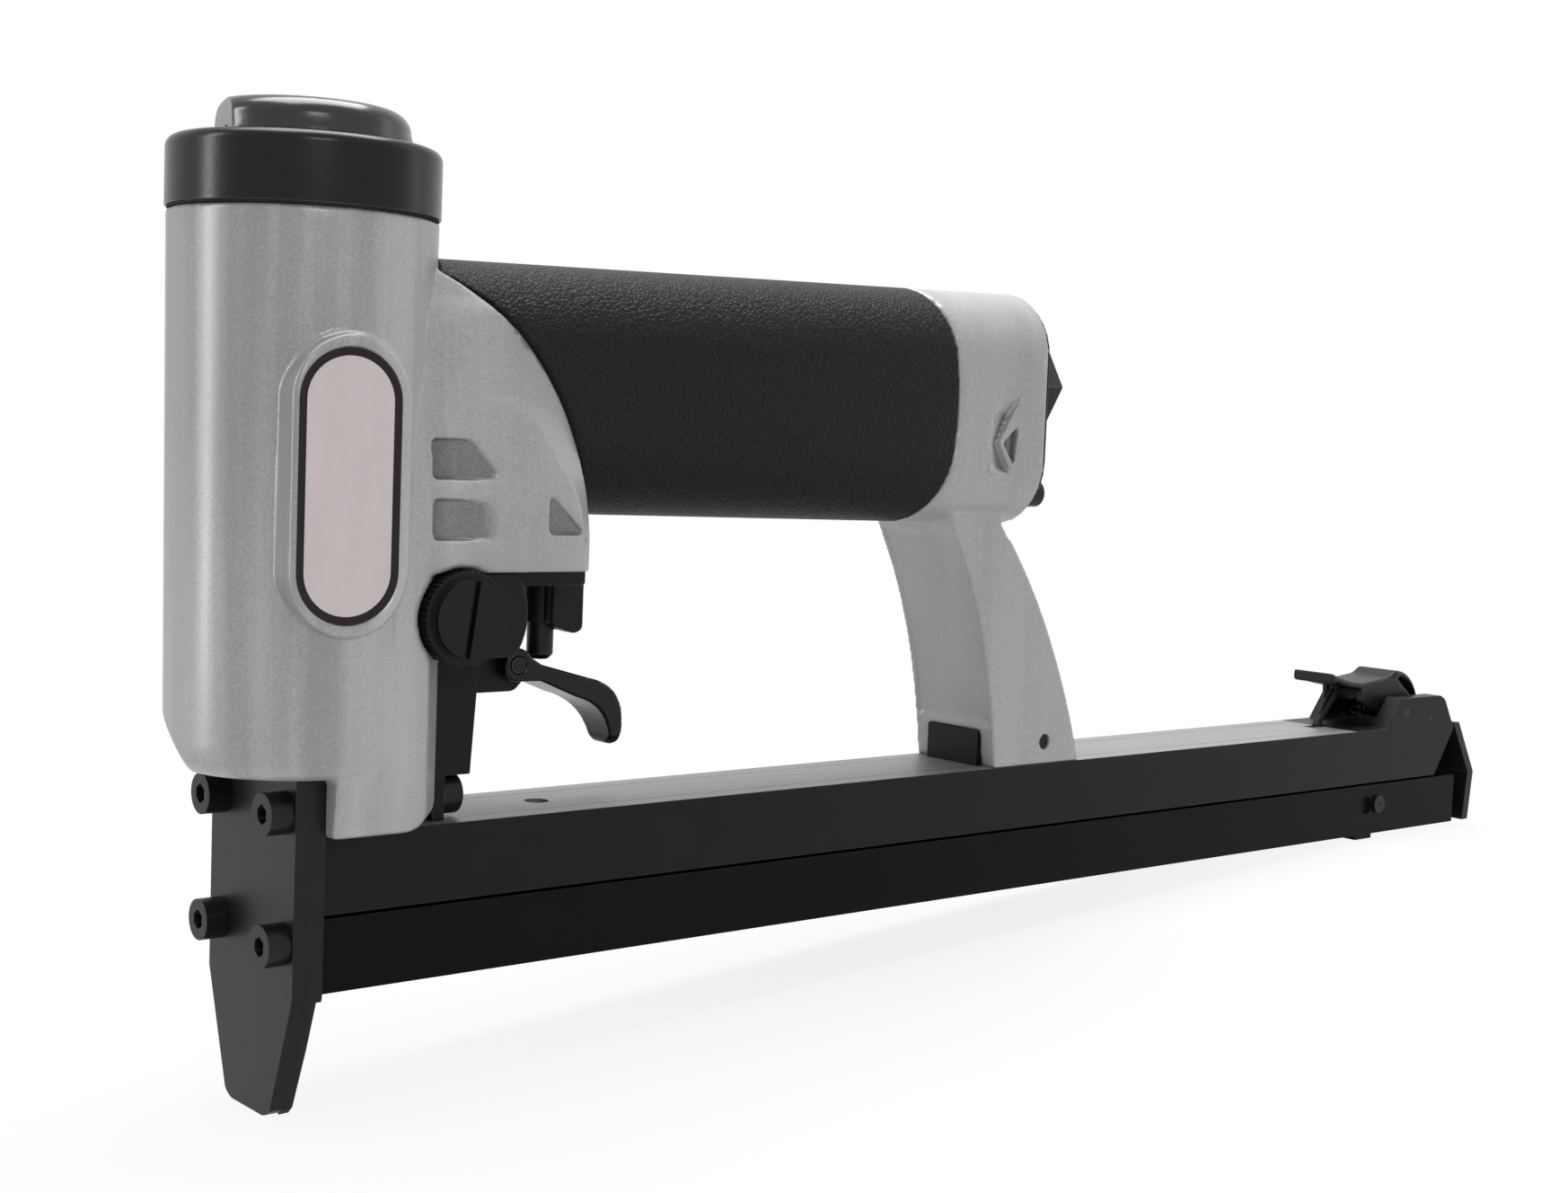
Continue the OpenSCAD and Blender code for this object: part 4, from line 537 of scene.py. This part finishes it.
# Trigger housing, valve and trigger.
# The housing is moulded in black plastic. The valve's bush and stem sit in it over the finger lever.
HOUSING_GRAIN, HOUSING_ROUNDS = 0.35 * MM, 7
LEVER_GRAIN, LEVER_ROUNDS = 0.25 * MM, 25
black_plastic = painted("black plastic", (0.0045, 0.0045, 0.0045, 1), (0.008, 0.008, 0.0082, 1), 0.42,
                        specular=0.16, patches=200, grain=2600, grain_depth=0.025,
                        edge_wear_and_highlight=(0.02, 0.02, 0.02, 1))
as_piece(softened("trigger_housing", HOUSING_GRAIN, HOUSING_ROUNDS), "housing", black_plastic,
         "tool_body", "trigger_housing")
eased_piece("valve_bush", "bush", 0.2, black_plastic, "black_plastic")
coil = eased_piece("valve_spring", "stem_spring", 0.02, ground_steel, "bright_steel", sharp=80)
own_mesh(coil)
eased_piece("valve_stem", "stem_rod", 0.15, black_oxide, "black_steel", "stem")
as_piece(softened("trigger", LEVER_GRAIN, LEVER_ROUNDS), "finger_lever", glossy_coat,
         "trigger_lever", "trigger")
eased_piece("trigger_pin", "lever_pin", 0.2, black_oxide, "bright_steel")
eased_piece("speed_knob", "knob_wheel", 0.08, black_plastic, "black_plastic", "knob")


# Magazine, fixed part.
# Two black extruded side plates with the latch's ears hold a bright drawn strip between them.
bright_strip_and_sheen = painted("bright strip and top sheen", (0.17, 0.17, 0.173, 1), (0.25, 0.25, 0.253, 1), 0.42, metallic=0.4,
                       stretch=(0.05, 1, 1), patches=500, grain=3000, grain_depth=0.01)
RAIL_TOP, BRIGHT_END, SAME_LEVEL = 46.9 * MM, 285 * MM, 0.1 * MM
EAR_X, EAR_Z, EAR_R = 312, 52, 2.2
ear_tip = (lambda place, way: place.x > EAR_X and place.z > EAR_Z and abs(way.y) > EDGE_ALONG, EAR_R)
rails = eased_piece("side_plates", "rails", 0.3, black_coat, "black_aluminium", rounder=ear_tip)
strip = eased_piece("top_strip", "strip", 0.45, bright_strip_and_sheen, "strip_aluminium", segments=1)
# The side plates' tops get the strip's bright finish as painted reflection of the white room at a grazing
# view. The strip's own bright finish is partly its bare metal and partly painted reflection. Behind
# BRIGHT_END the strip is painted black as painted shadow under the latch.
for piece, other in ((rails, bright_strip_and_sheen), (strip, black_coat)):
    piece.data.materials.append(other)
    shape = bmesh.new()
    shape.from_mesh(piece.data)
    bmesh.ops.bisect_plane(shape, geom=shape.verts[:] + shape.edges[:] + shape.faces[:], dist=1e-7,
                           plane_co=(BRIGHT_END, 0, 0), plane_no=(1, 0, 0))
    for face in shape.faces:
        middle, upward = face.calc_center_median(), face.normal.z
        if piece is rails:
            on_top = upward > 0.99 and abs(middle.z - RAIL_TOP) < SAME_LEVEL
            face.material_index = int(on_top and middle.x < BRIGHT_END)
        else:
            face.material_index = int(middle.x > BRIGHT_END or 0.1 < upward < 0.95)
    shape.to_mesh(piece.data)
    shape.free()
eased_piece("leg_lug", "lug", 0.3, black_coat, "black_aluminium")
# The pin gets the black oxide finish, darker than its bright steel, as painted shade for the hole it sits
# in
eased_piece("leg_pin", "lug_pin", 0.25, black_oxide, "bright_steel")


# Drawer.
# The lower part of the magazine slides out. A bent steel plate is screwed on its end.
dark_coat = painted("dark coat", (0.0022, 0.0022, 0.0022, 1), (0.004, 0.004, 0.004, 1), 0.42,
                    specular=0.07, patches=120, grain=2200, grain_depth=0.02, edge_wear_and_highlight=(0.05, 0.05, 0.05, 1))
eased_piece("drawer", "drawer_rail", 0.3, dark_coat, "black_aluminium", "drawer_body")
eased_piece("drawer_end", "drawer_plate", 0.4, black_oxide, "black_steel", "drawer_body")
eased_piece("drawer_screws", "plate_screws", 0.2, black_oxide, "black_steel", "drawer_body")
eased_piece("stop_screw", "stop_bolt", 0.12, black_oxide, "black_steel", "drawer_body")


# Pusher.
# A folded steel saddle on the rail pushes the staples, pulled by a roll spring.
eased_piece("pusher", "pusher_saddle", 0.15, black_oxide, "black_steel", "pusher_body")
eased_piece("roll_spring", "roll", 0.15, ground_steel, "bright_steel", "pusher_body")


# Latch.
# A bent steel lever on a cross pin hooks the drawer; a coil spring and a stop pin hold it.
LATCH_GRAIN, LATCH_ROUNDS = 0.22 * MM, 30
as_piece(softened("latch_lever", LATCH_GRAIN, LATCH_ROUNDS), "latch_arm", black_oxide,
         "latch", "latch_lever")
# The axle, coil and stop pin get the black oxide finish, darker than their bright steel, as painted shade
# in the ears' dimples and the hollow under the lever
eased_piece("latch_pin", "latch_axle", 0.2, black_oxide, "bright_steel")
eased_piece("latch_spring", "latch_coil", 0.02, black_oxide, "bright_steel", sharp=80)
eased_piece("latch_stop", "latch_stop_pin", 0.2, black_oxide, "bright_steel")


# Floor, light and camera.
# A white table that the tool leans on with its nose and tail, soft boxes around it,
# and the camera at the photo's viewpoint.
TABLE_NEAR, TABLE_FAR, TABLE_HALF = -0.005, 0.288, 6.0
TABLE_TAIL_Z = 0.019
SHADOW_SHARE, SHADOW_FROM, SHADOW_TO = 0.84, 0.02, 0.2
ROOM_LIGHT = 0.32
WHITE = (1, 1, 1, 1)
lean = TABLE_TAIL_Z / (TABLE_FAR - TABLE_NEAR)
table = bmesh.new()
edge = [table.verts.new((x, -TABLE_HALF, z)) for x, z in (
    (-TABLE_HALF, lean * (-TABLE_HALF - TABLE_NEAR)), (TABLE_FAR, TABLE_TAIL_Z),
    (TABLE_HALF, TABLE_TAIL_Z))]
for a, b in zip(edge, edge[1:]):
    table.edges.new((a, b))
bmesh.ops.extrude_edge_only(table, edges=table.edges[:])
bmesh.ops.translate(table, verts=[v for v in table.verts if v not in edge], vec=(0, 2 * TABLE_HALF, 0))
bmesh.ops.recalc_face_normals(table, faces=table.faces)
floor = bpy.data.objects.new("table", mesh_of(table, "table"))
bpy.context.collection.objects.link(floor)


def seen_or_mirrored(make):
    # 1 for what the camera sees, directly or in metal and glass
    path = make("ShaderNodeLightPath").outputs
    mirrored = make("ShaderNodeMath", [(path["Is Glossy Ray"], 0), (path["Is Transmission Ray"], 1)],
                    operation="MAXIMUM")
    return make("ShaderNodeMath", [(path["Is Camera Ray"], 0), (mirrored.outputs[0], 1)],
                operation="MAXIMUM").outputs[0]


white_table, tree, shader, make = nodes_of("white table")
shader.inputs["Base Color"].default_value = (0.62, 0.62, 0.62, 1)
shader.inputs["Roughness"].default_value = 0.8
shader.inputs["Specular IOR Level"].default_value = 0
glow = make("ShaderNodeEmission")
place = make("ShaderNodeTexCoord").outputs["Object"]
centred = make("ShaderNodeMapping", [(place, "Vector")], Location=(-0.09, 0, 0), Scale=(0.6, 1, 1))
away = make("ShaderNodeVectorMath", [(centred.outputs[0], 0)], operation="LENGTH")
fade = make("ShaderNodeMapRange", [(away.outputs["Value"], "Value")],
            **{"From Min": SHADOW_FROM, "From Max": SHADOW_TO, "To Min": SHADOW_SHARE, "To Max": 1.0})
share = make("ShaderNodeMath", [(seen_or_mirrored(make), 0), (fade.outputs[0], 1)], operation="MULTIPLY")
both = make("ShaderNodeMixShader", [(share.outputs[0], 0), (shader.outputs[0], 1), (glow.outputs[0], 2)])
out = next(n for n in tree.nodes if n.type == "OUTPUT_MATERIAL")
tree.links.new(both.outputs[0], out.inputs["Surface"])
floor.data.materials.append(white_table)

world = bpy.data.worlds.new("studio")
bpy.context.scene.world = world
world.use_nodes = True
world.node_tree.nodes.clear()
make = node_maker(world.node_tree)
room = make("ShaderNodeBackground", Color=WHITE, Strength=ROOM_LIGHT)
backdrop = make("ShaderNodeBackground", Color=WHITE)
mixed = make("ShaderNodeMixShader", [(seen_or_mirrored(make), 0), (room.outputs[0], 1),
                                     (backdrop.outputs[0], 2)])
make("ShaderNodeOutputWorld", [(mixed.outputs[0], "Surface")])


def soft_box(name, place, aim, width, height, watts, sheen_only=False):
    lamp = bpy.data.lights.new(name, "AREA")
    lamp.shape = "RECTANGLE"
    lamp.size, lamp.size_y, lamp.energy = width, height, watts
    holder = bpy.data.objects.new(name, lamp)
    bpy.context.collection.objects.link(holder)
    holder.location = place
    holder.rotation_euler = (Vector(aim) - Vector(place)).to_track_quat("-Z", "Y").to_euler()
    holder.visible_diffuse = not sheen_only


soft_box("left strip", (-0.95, 0.37, 0.35), (0, 0, 0.1), 0.1, 0.9, 6, sheen_only=True)
soft_box("top box", (0.15, 0.15, 1.1), (0.15, 0, 0.1), 1.0, 0.7, 21)
soft_box("right box", (1.1, -0.3, 0.35), (0.05, 0, 0.1), 0.3, 0.9, 0.8)
soft_box("front box", (-0.3, -1.1, 0.6), (0.15, 0, 0.08), 0.35, 0.22, 3)

LENS, FILM_WIDTH = 48.975, 36
STAND_AT, TURN, TILT, ROLL = (-0.16636, -0.32013, 0.11432), 40.377, -4.26, 2.246
camera = bpy.data.cameras.new("camera")
camera.lens, camera.sensor_width, camera.sensor_fit = LENS, FILM_WIDTH, "HORIZONTAL"
camera.clip_start = 0.01
stand = bpy.data.objects.new("camera", camera)
bpy.context.collection.objects.link(stand)
turn, tilt, roll = (math.radians(angle) for angle in (TURN, TILT, ROLL))
ahead = Vector((math.sin(turn) * math.cos(tilt), math.cos(turn) * math.cos(tilt), math.sin(tilt)))
side = Vector((math.cos(turn), -math.sin(turn), 0))
over = side.cross(ahead)
axes = Matrix((side * math.cos(roll) + over * math.sin(roll),
               over * math.cos(roll) - side * math.sin(roll), -ahead)).transposed().to_4x4()
axes.translation = STAND_AT
stand.matrix_world = axes
bpy.context.scene.camera = stand
bpy.context.scene.view_settings.view_transform = "Standard"
